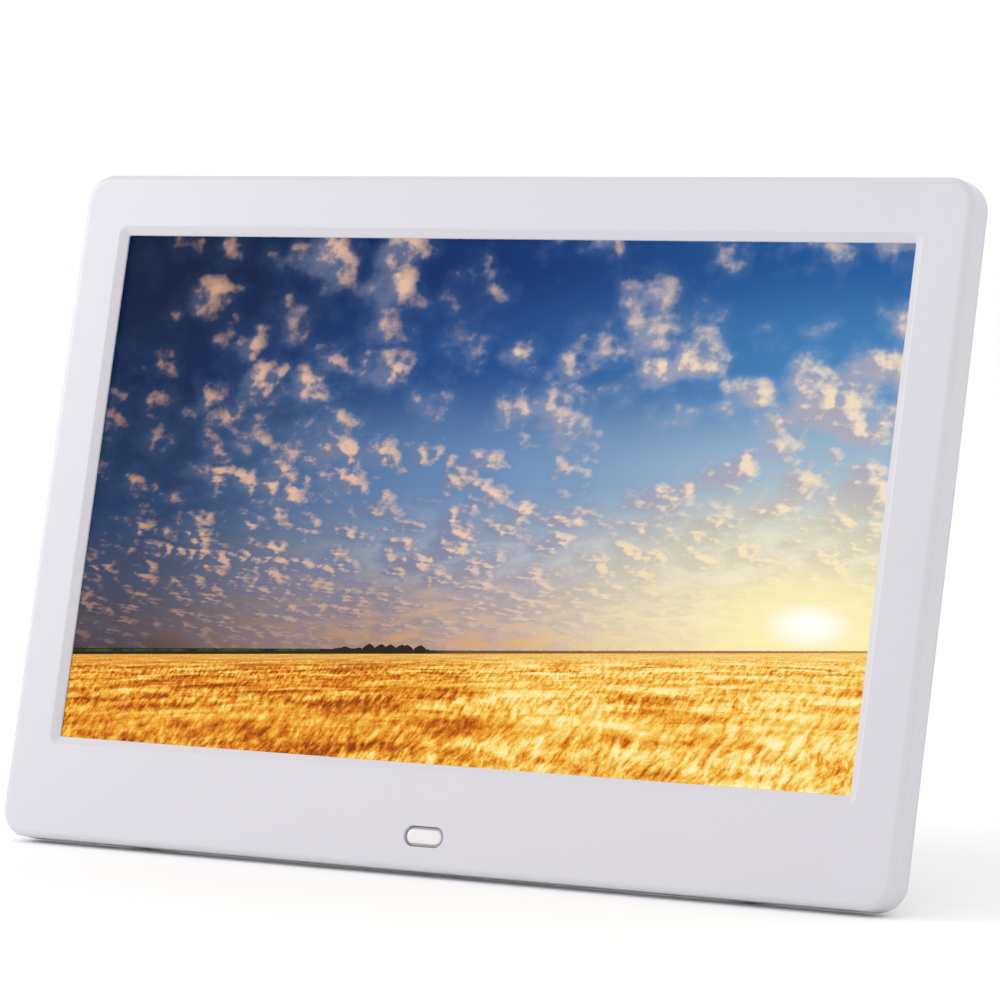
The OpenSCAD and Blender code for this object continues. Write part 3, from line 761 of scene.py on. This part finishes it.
class Solid:
    """A piece being shaped in millimetres, in the housing's own axes."""

    def __init__(self) -> None:
        """Starts with no geometry."""
        self.bm = bmesh.new()

    def _new(self, kind: str, before: set) -> list:
        """The vertices, edges or faces that were made since a set was taken."""
        return [item for item in getattr(self.bm, kind) if item not in before]

    def loop(self, width: float, height: float, radius: float, depth: float,
             centre: tuple[float, float] = (0.0, 0.0), segments: int = 12) -> list[bmesh.types.BMEdge]:
        """Adds a rounded rectangle of edges, facing along Y.

        Args:
            width: size along X.
            height: size along Z.
            radius: corner radius.
            depth: its place along Y.
            centre: its middle in X and Z.
            segments: edges in each corner.

        Returns:
            The loop's edges.
        """
        edges_before = set(self.bm.edges)
        faces_before = set(self.bm.faces)
        made = bmesh.ops.create_grid(self.bm, x_segments=1, y_segments=1, size=0.5)["verts"]
        bmesh.ops.scale(self.bm, vec=(width, height, 1), verts=made)
        bmesh.ops.rotate(self.bm, matrix=Matrix.Rotation(math.radians(90), 3, "X"), verts=made)
        bmesh.ops.translate(self.bm, vec=(centre[0], depth, centre[1]), verts=made)
        radius = min(radius, 0.4995 * min(width, height))
        bmesh.ops.bevel(self.bm, geom=made, offset=radius, offset_type="OFFSET", segments=segments,
                        profile=0.5, affect="VERTICES", material=-1)
        bmesh.ops.delete(self.bm, geom=self._new("faces", faces_before), context="FACES_ONLY")
        return self._new("edges", edges_before)

    def bridge(self, loops: Sequence[list[bmesh.types.BMEdge]]) -> None:
        """Skins a row of loops, one to the next."""
        for first, second in zip(loops, loops[1:]):
            bmesh.ops.bridge_loops(self.bm, edges=first + second)

    def cap(self, loop: list[bmesh.types.BMEdge]) -> None:
        """Fills a loop with one face."""
        bmesh.ops.contextual_create(self.bm, geom=loop)

    def fill(self, edges: list[bmesh.types.BMEdge]) -> None:
        """Fills the flat region between an outer loop and the loops inside it."""
        bmesh.ops.triangle_fill(self.bm, edges=edges, use_beauty=True, use_dissolve=False)

    def block(self, low: Sequence[float], high: Sequence[float]) -> None:
        """Adds a block from one corner to the other.

        Args:
            low: lowest corner.
            high: highest corner.
        """
        made = bmesh.ops.create_cube(self.bm, size=1)["verts"]
        size = [b - a for a, b in zip(low, high)]
        middle = [(a + b) / 2 for a, b in zip(low, high)]
        bmesh.ops.scale(self.bm, vec=size, verts=made)
        bmesh.ops.translate(self.bm, vec=middle, verts=made)

    def turned(self, profile: Sequence[tuple[float, float]], centre: tuple[float, float], steps: int) -> None:
        """Spins a profile round an axis that runs along Y.

        Args:
            profile: (radius, place along Y) points.
            centre: the axis in X and Z.
            steps: faces round the turn.
        """
        verts = [self.bm.verts.new((radius, 0, along)) for radius, along in profile]
        edges = [self.bm.edges.new(pair) for pair in zip(verts, verts[1:])]
        before = set(self.bm.verts) - set(verts)
        bmesh.ops.spin(self.bm, geom=verts + edges, cent=(0, 0, 0), axis=(0, 0, 1), angle=math.tau,
                       steps=steps, use_merge=True)
        made = self._new("verts", before)
        bmesh.ops.remove_doubles(self.bm, verts=made, dist=1e-4)
        made = self._new("verts", before)
        bmesh.ops.rotate(self.bm, matrix=Matrix.Rotation(math.radians(-90), 3, "X"), verts=made)
        bmesh.ops.translate(self.bm, vec=(centre[0], 0, centre[1]), verts=made)

    def prism(self, sides: int, radius: float, turn: float, front: float, back: float,
              centre: tuple[float, float]) -> None:
        """Adds a flat even-sided prism that faces along Y.

        Args:
            sides: how many corners it has.
            radius: from its middle to a corner.
            turn: angle of its first corner, in degrees from straight up.
            front: its nearer face along Y.
            back: its farther face along Y.
            centre: its middle in X and Z.
        """
        made = bmesh.ops.create_circle(self.bm, cap_ends=True, segments=sides, radius=radius)["verts"]
        bmesh.ops.rotate(self.bm, matrix=Matrix.Rotation(math.radians(turn), 3, "Z"), verts=made)
        bmesh.ops.rotate(self.bm, matrix=Matrix.Rotation(math.radians(90), 3, "X"), verts=made)
        bmesh.ops.translate(self.bm, vec=(centre[0], front, centre[1]), verts=made)
        raised = bmesh.ops.extrude_face_region(self.bm, geom=list({f for v in made for f in v.link_faces}),
                                               use_keep_orig=True)["geom"]
        bmesh.ops.translate(self.bm, vec=(0, back - front, 0),
                            verts=[item for item in raised if isinstance(item, bmesh.types.BMVert)])

    def lozenge(self, width: float, height: float, rings: Sequence[tuple[float, float]],
                centre: tuple[float, float] = (0.0, 0.0), segments: int = 12) -> None:
        """Adds a closed round-ended solid from its rings.

        Args:
            width: size along X.
            height: size along Z.
            rings: (inset, place along Y) of each ring, from front to back.
            centre: its middle in X and Z.
            segments: edges in each quarter round.
        """
        loops = [self.loop(width - 2 * inset, height - 2 * inset, (height - 2 * inset) / 2, depth, centre, segments)
                 for inset, depth in rings]
        self.bridge(loops)
        self.cap(loops[0])
        self.cap(loops[-1])

    def finish(self, name: str, place: Matrix, finishes: Sequence[bpy.types.Material],
               crease: float = 32.0) -> bpy.types.Object:
        """Closes the piece, puts it in its place and makes its object.

        Args:
            name: the piece's name.
            place: where its axes stand in the row frame.
            finishes: its materials, in slot order.
            crease: edges sharper than this many degrees stay sharp.

        Returns:
            The new object.
        """
        bmesh.ops.remove_doubles(self.bm, verts=self.bm.verts, dist=1e-4)
        bmesh.ops.recalc_face_normals(self.bm, faces=self.bm.faces)
        bmesh.ops.transform(self.bm, matrix=place @ Matrix.Scale(MM, 4), verts=self.bm.verts)
        mesh = bpy.data.meshes.new(name)
        self.bm.to_mesh(mesh)
        self.bm.free()
        mesh.shade_smooth()
        mesh.set_sharp_from_angle(angle=math.radians(crease))
        for finish in finishes:
            mesh.materials.append(finish)
        piece = bpy.data.objects.new(name, mesh)
        bpy.context.scene.collection.objects.link(piece)
        even = piece.modifiers.new("even_shading", "WEIGHTED_NORMAL")
        even.keep_sharp = True
        return piece


def softened_copy(frame: dict, node: str, name: str, finishes: Sequence[bpy.types.Material],
                  edge: float = 0.2 * MM, segments: int = 2, crease: float = 30.0) -> bpy.types.Object:
    """Copies a CAD node, merges its loose triangles and rounds its sharp edges.

    Args:
        node: the CAD node.
        name: the new piece's name.
        finishes: its materials.
        edge: rounding of its sharp edges, in metres.
        segments: faces in each rounding.
        crease: edges sharper than this many degrees are rounded.

    Returns:
        The new object.
    """
    bm = bmesh.new()
    bm.from_mesh(frame["nodes"][node].data)
    bmesh.ops.remove_doubles(bm, verts=bm.verts, dist=2e-6)
    bmesh.ops.dissolve_limit(bm, angle_limit=math.radians(0.5), verts=bm.verts, edges=bm.edges)
    mesh = bpy.data.meshes.new(name)
    for face in bm.faces:
        face.material_index = 0
    bm.to_mesh(mesh)
    bm.free()
    mesh.shade_smooth()
    mesh.set_sharp_from_angle(angle=math.radians(crease))
    for finish in finishes:
        mesh.materials.append(finish)
    piece = bpy.data.objects.new(name, mesh)
    bpy.context.scene.collection.objects.link(piece)
    if edge:
        rounding = piece.modifiers.new("rounding", "BEVEL")
        rounding.limit_method = "ANGLE"
        rounding.angle_limit = math.radians(crease)
        rounding.width = edge
        rounding.segments = segments
        rounding.use_clamp_overlap = False
        rounding.harden_normals = False
    even = piece.modifiers.new("even_shading", "WEIGHTED_NORMAL")
    even.keep_sharp = True
    return piece


# ---------------------------------------------------------------- palette


class Palette:
    """Every finish on the object, made once."""

    def __init__(self) -> None:
        """Builds the materials."""
        self.bezel = MouldedPlastic("bezel_white", (0.605, 0.592, 0.635, 1), roughness=0.34, grain=0.001 * MM,
                                    grain_scale=1800, coat=0.15).material()
        self.cover = MouldedPlastic("cover_white", (0.6, 0.588, 0.62, 1), roughness=0.5, grain=0.03 * MM,
                                    grain_scale=1100).material()
        # Painted shade: a darker grey for the step round the receiver's pad, standing in for the shade in the
        # narrow gap there.
        self.groove = MouldedPlastic("window_groove", tint(168, 164, 170), roughness=0.5,
                                     grain=0.004 * MM).material()
        self.button = MouldedPlastic("button_grey", (0.44, 0.43, 0.455, 1), roughness=0.38,
                                     grain=0.01 * MM).material()
        self.black = MouldedPlastic("moulded_black", tint(26, 26, 28), roughness=0.4, grain=0.02 * MM).material()
        self.ink = MouldedPlastic("printed_ink", tint(112, 112, 118), roughness=0.55, grain=0.004 * MM).material()
        self.nylon = MouldedPlastic("socket_nylon", tint(226, 220, 200), roughness=0.45).material()
        self.film = MouldedPlastic("diffusing_film", tint(240, 240, 240), roughness=0.6,
                                   grain=0.005 * MM).material()
        self.acrylic = MouldedPlastic("guide_acrylic", tint(232, 238, 242), roughness=0.12,
                                      grain=0.002 * MM).material()
        self.foam = SoftRubber("gasket_foam", tint(22, 22, 22)).material()
        self.rubber = SoftRubber("foot_rubber", tint(52, 52, 54)).material()
        self.sleeve_red = SoftRubber("sleeve_red", tint(168, 34, 28)).material()
        self.sleeve_white = SoftRubber("sleeve_white", tint(214, 212, 206)).material()
        self.steel = WorkedMetal("pressed_steel", (0.62, 0.62, 0.61, 1), 0.32).material()
        self.nickel = WorkedMetal("plated_nickel", (0.72, 0.71, 0.68, 1), 0.2, (1, 1, 1), 500).material()
        self.brass = WorkedMetal("turned_brass", (0.82, 0.6, 0.28, 1), 0.28, (1, 1, 1), 700).material()
        self.ferrite = MouldedPlastic("ferrite_grey", tint(70, 70, 74), roughness=0.6, grain=0.05 * MM).material()
        self.board = CircuitResin("board_green", tint(14, 78, 40), tint(40, 120, 66)).material()
        self.ribbon = MouldedPlastic("ribbon_amber", tint(190, 128, 60), roughness=0.3, grain=0.003 * MM).material()
        self.lens = MilkyWindow("receiver_window", (0.752, 0.745, 0.752, 1)).material()
        self.picture = EveningField("lit_picture").material()
        self.paper = SoftRubber("cone_paper", tint(34, 34, 36)).material()


# ---------------------------------------------------------------- front


@dataclass
class FrontBezel:
    """The front shell: flat border, rounded outer edge and a lip that slopes in to the screen. Millimetres."""

    width: float = 250.0
    height: float = 165.0
    corner: float = 7.0
    edge: float = 1.6
    skirt: float = 6.6
    wall: float = 2.0
    front_wall: float = 1.6
    window_width: float = 222.2
    window_height: float = 124.8
    window_z: float = 87.45
    lip: float = 2.2
    lip_depth: float = 1.2
    lip_corner: float = 2.4
    receiver_size: tuple[float, float] = (11.0, 4.8)
    receiver_z: float = 8.0
    edge_steps: int = 8

    def _outer(self, solid: Solid, inset: float, depth: float) -> list[bmesh.types.BMEdge]:
        """A loop of the housing's outline, drawn in by an inset."""
        return solid.loop(self.width - 2 * inset, self.height - 2 * inset, max(1.0, self.corner - inset), depth,
                          (0, self.height / 2))

    def _window(self, solid: Solid, grow: float, depth: float) -> list[bmesh.types.BMEdge]:
        """A loop of the screen's opening, drawn out by a distance.

        Args:
            solid: the piece being shaped.
            grow: how far it is drawn out.
            depth: its place along Y.

        Returns:
            The loop's edges.
        """
        share = grow / self.lip
        return solid.loop(self.window_width + 2 * grow, self.window_height + 2 * grow,
                          0.4 + (self.lip_corner - 0.4) * share, depth, (0, self.window_z))

    def _receiver(self, solid: Solid, grow: float, depth: float) -> list[bmesh.types.BMEdge]:
        """A loop of the receiver's opening, drawn out by a distance."""
        return solid.loop(self.receiver_size[0] + 2 * grow, self.receiver_size[1] + 2 * grow,
                          self.receiver_size[1], depth, (0, self.receiver_z))

    def build(self, place: HousingPlace, palette: Palette) -> bpy.types.Object:
        """Makes the front shell.

        Args:
            place: where the housing stands.
            palette: the finishes.

        Returns:
            The shell.
        """
        solid = Solid()
        opening = [self._window(solid, grow, depth) for grow, depth in (
            (0.0, self.front_wall), (0.0, self.lip_depth + 0.1), (0.05, self.lip_depth - 0.04),
            (0.16, self.lip_depth - 0.14), (self.lip - 0.22, 0.12), (self.lip - 0.05, 0.04),
            (self.lip + 0.12, 0.0))]
        turns = [math.radians(90 * step / self.edge_steps) for step in range(self.edge_steps + 1)]
        outside = [self._outer(solid, self.edge * (1 - math.sin(turn)), self.edge * (1 - math.cos(turn)))
                   for turn in turns]
        rim = [self._outer(solid, inset, depth) for inset, depth in (
            (0.0, self.skirt - 0.2), (0.06, self.skirt - 0.06), (0.2, self.skirt),
            (self.wall - 0.15, self.skirt), (self.wall, self.skirt - 0.15))]
        inner = [self._outer(solid, self.wall, self.front_wall)]
        hole = [self._receiver(solid, grow, depth) for grow, depth in (
            (0.25, 0.0), (0.07, 0.07), (0.0, 0.25), (0.0, self.front_wall))]
        for rings in (opening, [*outside, *rim, *inner], hole):
            solid.bridge(rings)
        solid.fill(opening[-1] + outside[0] + hole[0])
        solid.fill(opening[0] + inner[0] + hole[-1])
        bezel = solid.finish("front_shell", place.housing, [palette.bezel])
        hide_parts("front_bezel")
        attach(bezel, "housing")
        return bezel


@dataclass
class RemoteWindow:
    """The receiver's milky window: a raised pad sunk in a shallow channel, with its flange inside. The step from
    the pad out to the window's edge is a darker grey, painted shade for the gap round the pad. Millimetres.
    """

    size: tuple[float, float] = (10.4, 4.2)
    flange: tuple[float, float] = (12.2, 6.0)
    groove_depth: float = 0.6
    middle_z: float = FrontBezel.receiver_z
    front_wall: float = FrontBezel.front_wall

    def build(self, place: HousingPlace, palette: Palette) -> bpy.types.Object:
        """Makes the window and rides it on the housing.

        Args:
            place: where the housing stands.
            palette: the finishes.

        Returns:
            The window.
        """
        solid = Solid()
        pad = [(1.2, 0.15), (0.9, 0.17), (0.6, 0.22), (0.48, 0.3), (0.42, 0.42), (0.4, 0.55)]
        rings = [solid.loop(self.size[0] - 2 * inset, self.size[1] - 2 * inset, self.size[1], depth,
                            (0, self.middle_z))
                 for inset, depth in [*pad, (0.0, self.groove_depth), (0.0, self.front_wall)]]
        rings += [solid.loop(*self.flange, self.flange[1], depth, (0, self.middle_z))
                  for depth in (self.front_wall + 0.02, self.front_wall + 0.4)]
        solid.bridge(rings)
        solid.cap(rings[0])
        solid.cap(rings[-1])
        # Painted shade: the step faces that end at groove_depth, from the pad out to the window's edge, take the
        # darker grey that stands in for the shade in the gap round the pad.
        for face in solid.bm.faces:
            face.material_index = int(self.groove_depth - 0.04 < face.calc_center_median().y < self.groove_depth)
        window = solid.finish("receiver_lens", place.housing, [palette.lens, palette.groove])
        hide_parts("ir_window")
        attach(window, "housing")
        return window


@dataclass
class Screen:
    """The display's glass, whose front carries the picture. Millimetres."""

    picture: tuple[float, float] = (222.7, 125.3)
    picture_bottom: float = 24.8
    glass: tuple[float, float] = (234.1, 142.1)
    glass_z: float = 83.5
    front: float = 2.1
    thickness: float = 1.2

    def build(self, place: HousingPlace, palette: Palette) -> bpy.types.Object:
        """Makes the glass, with the picture on its front face and a black border round it.

        Args:
            place: where the housing stands.
            palette: the finishes.

        Returns:
            The screen.
        """
        solid = Solid()
        picture_z = self.picture_bottom + self.picture[1] / 2
        lit = solid.loop(*self.picture, 0.02, self.front, (0, picture_z), segments=1)
        sides = [solid.loop(self.glass[0] - 2 * inset, self.glass[1] - 2 * inset, 0.3, depth, (0, self.glass_z))
                 for inset, depth in ((0.1, self.front), (0.0, self.front + 0.1),
                                      (0.0, self.front + self.thickness - 0.1), (0.1, self.front + self.thickness))]
        solid.bridge(sides)
        solid.fill(lit + sides[0])
        solid.cap(sides[-1])
        for face in solid.bm.faces:
            face.material_index = 1
        before = set(solid.bm.faces)
        solid.cap(lit)
        picture_map = solid.bm.loops.layers.uv.new("picture")
        for face in solid.bm.faces:
            if face not in before:
                face.material_index = 0
            for corner in face.loops:
                corner[picture_map].uv = (corner.vert.co.x / self.picture[0] + 0.5,
                                          (corner.vert.co.z - self.picture_bottom) / self.picture[1])
        screen = solid.finish("screen_face", place.housing, [palette.picture, palette.black])
        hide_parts("display_panel")
        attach(screen, "housing")
        return screen


# ---------------------------------------------------------------- back


@dataclass
class RearCover:
    """The rear shell with its recess, sockets' pocket, grilles and keyholes, its edges softened. Millimetres."""

    edge: float = 0.12

    def build(self, frame: dict, palette: Palette) -> bpy.types.Object:
        """Makes the rear shell and rides it on the housing.

        Args:
            palette: the finishes.

        Returns:
            The shell.
        """
        cover = softened_copy(frame, "rear_cover", "rear_shell", [palette.cover], self.edge * MM, 2)
        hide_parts("rear_cover")
        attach(cover, "housing")
        return cover


@dataclass
class StandLeg:
    """The hinged leg and its rubber foot. Millimetres."""

    edge: float = 0.3
    foot_edge: float = 0.15

    def build(self, frame: dict, palette: Palette) -> list[bpy.types.Object]:
        """Makes the leg and its foot and rides them on the leg's body.

        Args:
            palette: the finishes.

        Returns:
            The leg and its foot.
        """
        leg = softened_copy(frame, "stand_leg", "leg_panel", [palette.cover], self.edge * MM, 3)
        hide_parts("stand_leg")
        foot = softened_copy(frame, "leg_foot", "leg_rubber", [palette.rubber], self.foot_edge * MM, 2)
        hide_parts("leg_foot")
        for piece in (leg, foot):
            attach(piece, "leg")
        return [leg, foot]


@dataclass
class Buttons:
    """The row of caps on the back, each with a dished top, a flange and a stem. Millimetres."""

    first_x: float = 17.5
    pitch: float = 12.0
    row_z: float = 143.0
    size: tuple[float, float] = (8.0, 4.6)
    flange: float = 0.8
    flange_front: float = 16.5
    flange_back: float = 17.7
    stem_front: float = 13.4
    stem_radius: float = 1.7
    top: float = 20.7
    order: tuple[Mark, ...] = (Mark.POWER, Mark.MENU, Mark.EXIT, Mark.LEFT, Mark.UP, Mark.DOWN, Mark.RIGHT,
                               Mark.ENTER)

    def _cap(self, place: HousingPlace, palette: Palette, index: int, mark: Mark) -> bpy.types.Object:
        """Makes one cap with its flange and stem.

        Args:
            place: where the housing stands.
            palette: the finishes.
            index: its number along the row.
            mark: the button's sign.

        Returns:
            The cap.
        """
        solid = Solid()
        middle = (self.first_x + index * self.pitch, self.row_z)
        solid.lozenge(self.size[0] + 2 * self.flange, self.size[1] + 2 * self.flange,
                      [(0.1, self.flange_front), (0.0, self.flange_front + 0.1),
                       (0.0, self.flange_back - 0.1), (0.1, self.flange_back)], middle)
        solid.lozenge(*self.size, [(0.0, self.flange_back - 0.05), (0.0, self.top - 0.5), (0.08, self.top - 0.2),
                                   (0.26, self.top - 0.05), (0.55, self.top), (0.8, self.top - 0.03),
                                   (1.5, self.top - 0.16), (2.0, self.top - 0.2)], middle)
        front, back, radius = self.stem_front, self.flange_front + 0.05, self.stem_radius
        solid.turned([(0.0, front), (radius - 0.1, front), (radius, front + 0.1), (radius, back), (0.0, back)],
                     middle, 24)
        node = f"{mark.value}_button"
        cap = solid.finish(f"{mark.value}_cap", place.housing, [palette.button])
        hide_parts(node)
        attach(cap, node)
        return cap

    def build(self, place: HousingPlace, palette: Palette) -> list[bpy.types.Object]:
        """Makes every cap and rides each on its own button's body."""
        return [self._cap(place, palette, index, mark) for index, mark in enumerate(self.order)]


@dataclass
class ButtonSigns:
    """The plain signs printed on the back above the buttons. Millimetres."""

    row_z: float = 149.0
    surface: float = 20.0
    ink: float = 0.012
    size: float = 1.15
    stroke: float = 0.32
    line_gap: float = 0.75
    stop_gap: float = 1.1
    dot: float = 0.42

    def _bar(self, solid: Solid, x: float, z: float, width: float, height: float) -> None:
        """Adds a printed bar about its middle."""
        solid.block((x - width / 2, self.surface - self.ink, z - height / 2),
                    (x + width / 2, self.surface + self.ink, z + height / 2))

    def _arrow(self, solid: Solid, x: float, turn: float) -> None:
        """Adds a printed arrow head that points a turn round from straight up, seen from the front."""
        solid.prism(3, self.size, turn, self.surface - self.ink, self.surface + self.ink, (x, self.row_z))

    def _ring(self, solid: Solid, x: float) -> None:
        """Adds a printed ring.

        Args:
            solid: the piece being shaped.
            x: the button's middle.
        """
        low, high = self.surface - self.ink, self.surface + self.ink
        inner, outer = self.size - self.stroke, self.size
        solid.turned([(inner, low), (outer, low), (outer, high), (inner, high), (inner, low)], (x, self.row_z), 32)

    def _sign(self, solid: Solid, x: float, mark: Mark) -> None:
        """Adds one button's sign.

        Args:
            solid: the piece being shaped.
            x: the button's middle.
            mark: the button's sign.
        """
        turns = {Mark.UP: 0.0, Mark.LEFT: 90.0, Mark.DOWN: 180.0, Mark.RIGHT: -90.0}
        if mark in turns:
            self._arrow(solid, x, turns[mark])
        elif mark is Mark.MENU:
            for step in (-1, 0, 1):
                self._bar(solid, x, self.row_z + self.line_gap * step, 2 * self.size, self.stroke)
        elif mark is Mark.EXIT:
            self._arrow(solid, x, 90.0)
            self._bar(solid, x + self.stop_gap, self.row_z, self.stroke, 2 * self.size)
        elif mark is Mark.POWER:
            self._ring(solid, x)
            self._bar(solid, x, self.row_z + self.size, self.stroke, self.size)
        else:
            self._ring(solid, x)
            solid.prism(16, self.dot, 0.0, self.surface - self.ink, self.surface + self.ink, (x, self.row_z))

    def build(self, place: HousingPlace, palette: Palette) -> bpy.types.Object:
        """Prints every sign and rides them on the housing.

        Args:
            place: where the housing stands.
            palette: the finishes.

        Returns:
            The signs.
        """
        solid = Solid()
        for index, mark in enumerate(Buttons.order):
            self._sign(solid, Buttons.first_x + index * Buttons.pitch, mark)
        signs = solid.finish("button_signs", place.housing, [palette.ink])
        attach(signs, "housing")
        return signs


@dataclass
class Feet:
    """The two rubber pads under the lower edge. Millimetres."""

    edge: float = 0.15

    def build(self, frame: dict, palette: Palette) -> bpy.types.Object:
        """Makes the pads and rides them on the housing.

        Args:
            palette: the finishes.

        Returns:
            The pads.
        """
        pads = softened_copy(frame, "rubber_feet", "foot_pads", [palette.rubber], self.edge * MM, 2)
        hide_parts("rubber_feet")
        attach(pads, "housing")
        return pads


# ---------------------------------------------------------------- what stays as the CAD has it


@dataclass
class Fittings:
    """The CAD nodes that stay, each dressed in its own finish."""

    def finish_of(self, palette: Palette) -> dict[str, bpy.types.Material]:
        """Names the finish of each node.

        Args:
            palette: the finishes.

        Returns:
            Node name to material.
        """
        groups = (
            (palette.black, ("ir_receiver", "processor", "memory_chips", "clock_cell_holder", "headphone_socket",
                             "power_inlet", "switch_housings", "speaker_frame_left", "speaker_frame_right")),
            (palette.board, ("ir_board", "panel_driver_board", "main_board", "button_board")),
            (palette.foam, ("screen_gasket",)),
            (palette.steel, ("panel_frame", "panel_tray", "card_socket", "usb_socket", "mini_usb_socket")),
            (palette.film, ("diffuser_films",)),
            (palette.acrylic, ("light_guide",)),
            (palette.ribbon, ("led_strip", "panel_ribbon")),
            (palette.nickel, ("cover_screws", "board_screws", "button_board_screws", "clock_cell", "hinge_pin",
                              "capacitors", "speaker_magnet_left", "speaker_magnet_right")),
            (palette.brass, ("hinge_washers",)),
            (palette.ferrite, ("inductors",)),
            (palette.nylon, ("wire_sockets",)),
            (palette.paper, ("speaker_cone_left", "speaker_cone_right")),
            (palette.sleeve_red, ("speaker_lead_left", "speaker_lead_right")),
            (palette.sleeve_white, ("button_lead", "receiver_lead")),
        )
        return {node: finish for finish, nodes in groups for node in nodes}

    def dress(self, frame: dict, palette: Palette) -> int:
        """Gives each node its finish.

        Args:
            palette: the finishes.

        Returns:
            How many nodes were dressed.
        """
        finishes = self.finish_of(palette)
        for node, finish in finishes.items():
            mesh = frame["nodes"][node].data
            mesh.materials.clear()
            mesh.materials.append(finish)
        return len(finishes)


# ---------------------------------------------------------------- studio


@dataclass
class Studio:
    """A white floor and surround, a soft light at the left, a faint one at the right, and the camera. Metres."""

    camera_place: tuple[float, float, float] = (0.70828, -1.05247, 0.16607)
    camera_forward: tuple[float, float, float] = (-0.55614, 0.82872, -0.06278)
    lens: float = 194.58
    floor_half: float = 6.0
    world_strength: float = 1.02
    key_place: tuple[float, float, float] = (-1.0, -0.55, 0.5)
    key_size: float = 0.5
    key_watts: float = 4.3
    edge_place: tuple[float, float, float] = (1.3, -0.85, 0.3)
    edge_size: float = 0.3
    edge_watts: float = 0.6

    def camera(self) -> None:
        """Makes the camera and uses it."""
        data = bpy.data.cameras.new("camera")
        data.lens = self.lens
        data.sensor_width = 36
        data.clip_end = 50
        camera = bpy.data.objects.new("camera", data)
        forward = Vector(self.camera_forward)
        camera.location = self.camera_place
        camera.rotation_euler = forward.to_track_quat("-Z", "Y").to_euler()
        bpy.context.scene.collection.objects.link(camera)
        bpy.context.scene.camera = camera

    def _area(self, name: str, place: Sequence[float], aim: Sequence[float], size: float, watts: float,
              colour: Sequence[float]) -> None:
        """Adds a square soft light that faces a point.

        Args:
            name: the light's name.
            place: where it hangs.
            aim: the point that it faces.
            size: its side, in metres.
            watts: its power.
            colour: its colour.
        """
        data = bpy.data.lights.new(name, "AREA")
        data.shape = "SQUARE"
        data.size = size
        data.energy = watts
        data.color = colour
        light = bpy.data.objects.new(name, data)
        light.location = place
        light.rotation_euler = (Vector(aim) - Vector(place)).to_track_quat("-Z", "Y").to_euler()
        bpy.context.scene.collection.objects.link(light)

    def lights(self) -> None:
        """Adds the two soft lights and an even surround."""
        self._area("key", self.key_place, (0, 0, 0.08), self.key_size, self.key_watts, (0.98, 0.985, 1.0))
        self._area("edge", self.edge_place, (0.1, 0, 0.08), self.edge_size, self.edge_watts, (1.0, 1.0, 1.0))
        world = bpy.data.worlds.new("surround")
        bpy.context.scene.world = world
        world.use_nodes = True
        back = world.node_tree.nodes["Background"]
        back.inputs["Color"].default_value = (1.0, 1.0, 1.0, 1.0)
        back.inputs["Strength"].default_value = self.world_strength

    def floor(self) -> None:
        """Lays the white floor."""
        bm = bmesh.new()
        bmesh.ops.create_grid(bm, x_segments=8, y_segments=8, size=self.floor_half)
        mesh = bpy.data.meshes.new("floor")
        bm.to_mesh(mesh)
        bm.free()
        graph = Graph("floor_white")
        cloud = graph.noise(graph.mapped(), 2.0, 2)
        graph.put("Base Color", graph.ramp(cloud, [(0.0, 0.975), (1.0, 0.985)]))
        graph.put("Roughness", 0.9)
        graph.put("Specular IOR Level", 0.1)
        mesh.materials.append(graph.material)
        floor = bpy.data.objects.new("floor", mesh)
        bpy.context.scene.collection.objects.link(floor)

    def build(self) -> None:
        """Sets the whole studio."""
        self.camera()
        self.lights()
        self.floor()
        bpy.context.scene.view_settings.view_transform = "Standard"


# ---------------------------------------------------------------- assembly


def main() -> None:
    """Builds the frame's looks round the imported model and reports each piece."""
    logging.basicConfig(level=logging.INFO, format="%(message)s")
    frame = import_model()
    place = HousingPlace.from_frame(frame)
    palette = Palette()
    Studio().build()
    log.info("front shell: %s", FrontBezel().build(place, palette).name)
    log.info("receiver window: %s", RemoteWindow().build(place, palette).name)
    log.info("screen: %s", Screen().build(place, palette).name)
    log.info("rear shell: %s", RearCover().build(frame, palette).name)
    log.info("leg: %s", [piece.name for piece in StandLeg().build(frame, palette)])
    log.info("buttons: %s", [piece.name for piece in Buttons().build(place, palette)])
    log.info("button signs: %s", ButtonSigns().build(place, palette).name)
    log.info("feet: %s", Feet().build(frame, palette).name)
    log.info("nodes dressed: %d", Fittings().dress(frame, palette))


if __name__ == "__main__":
    main()
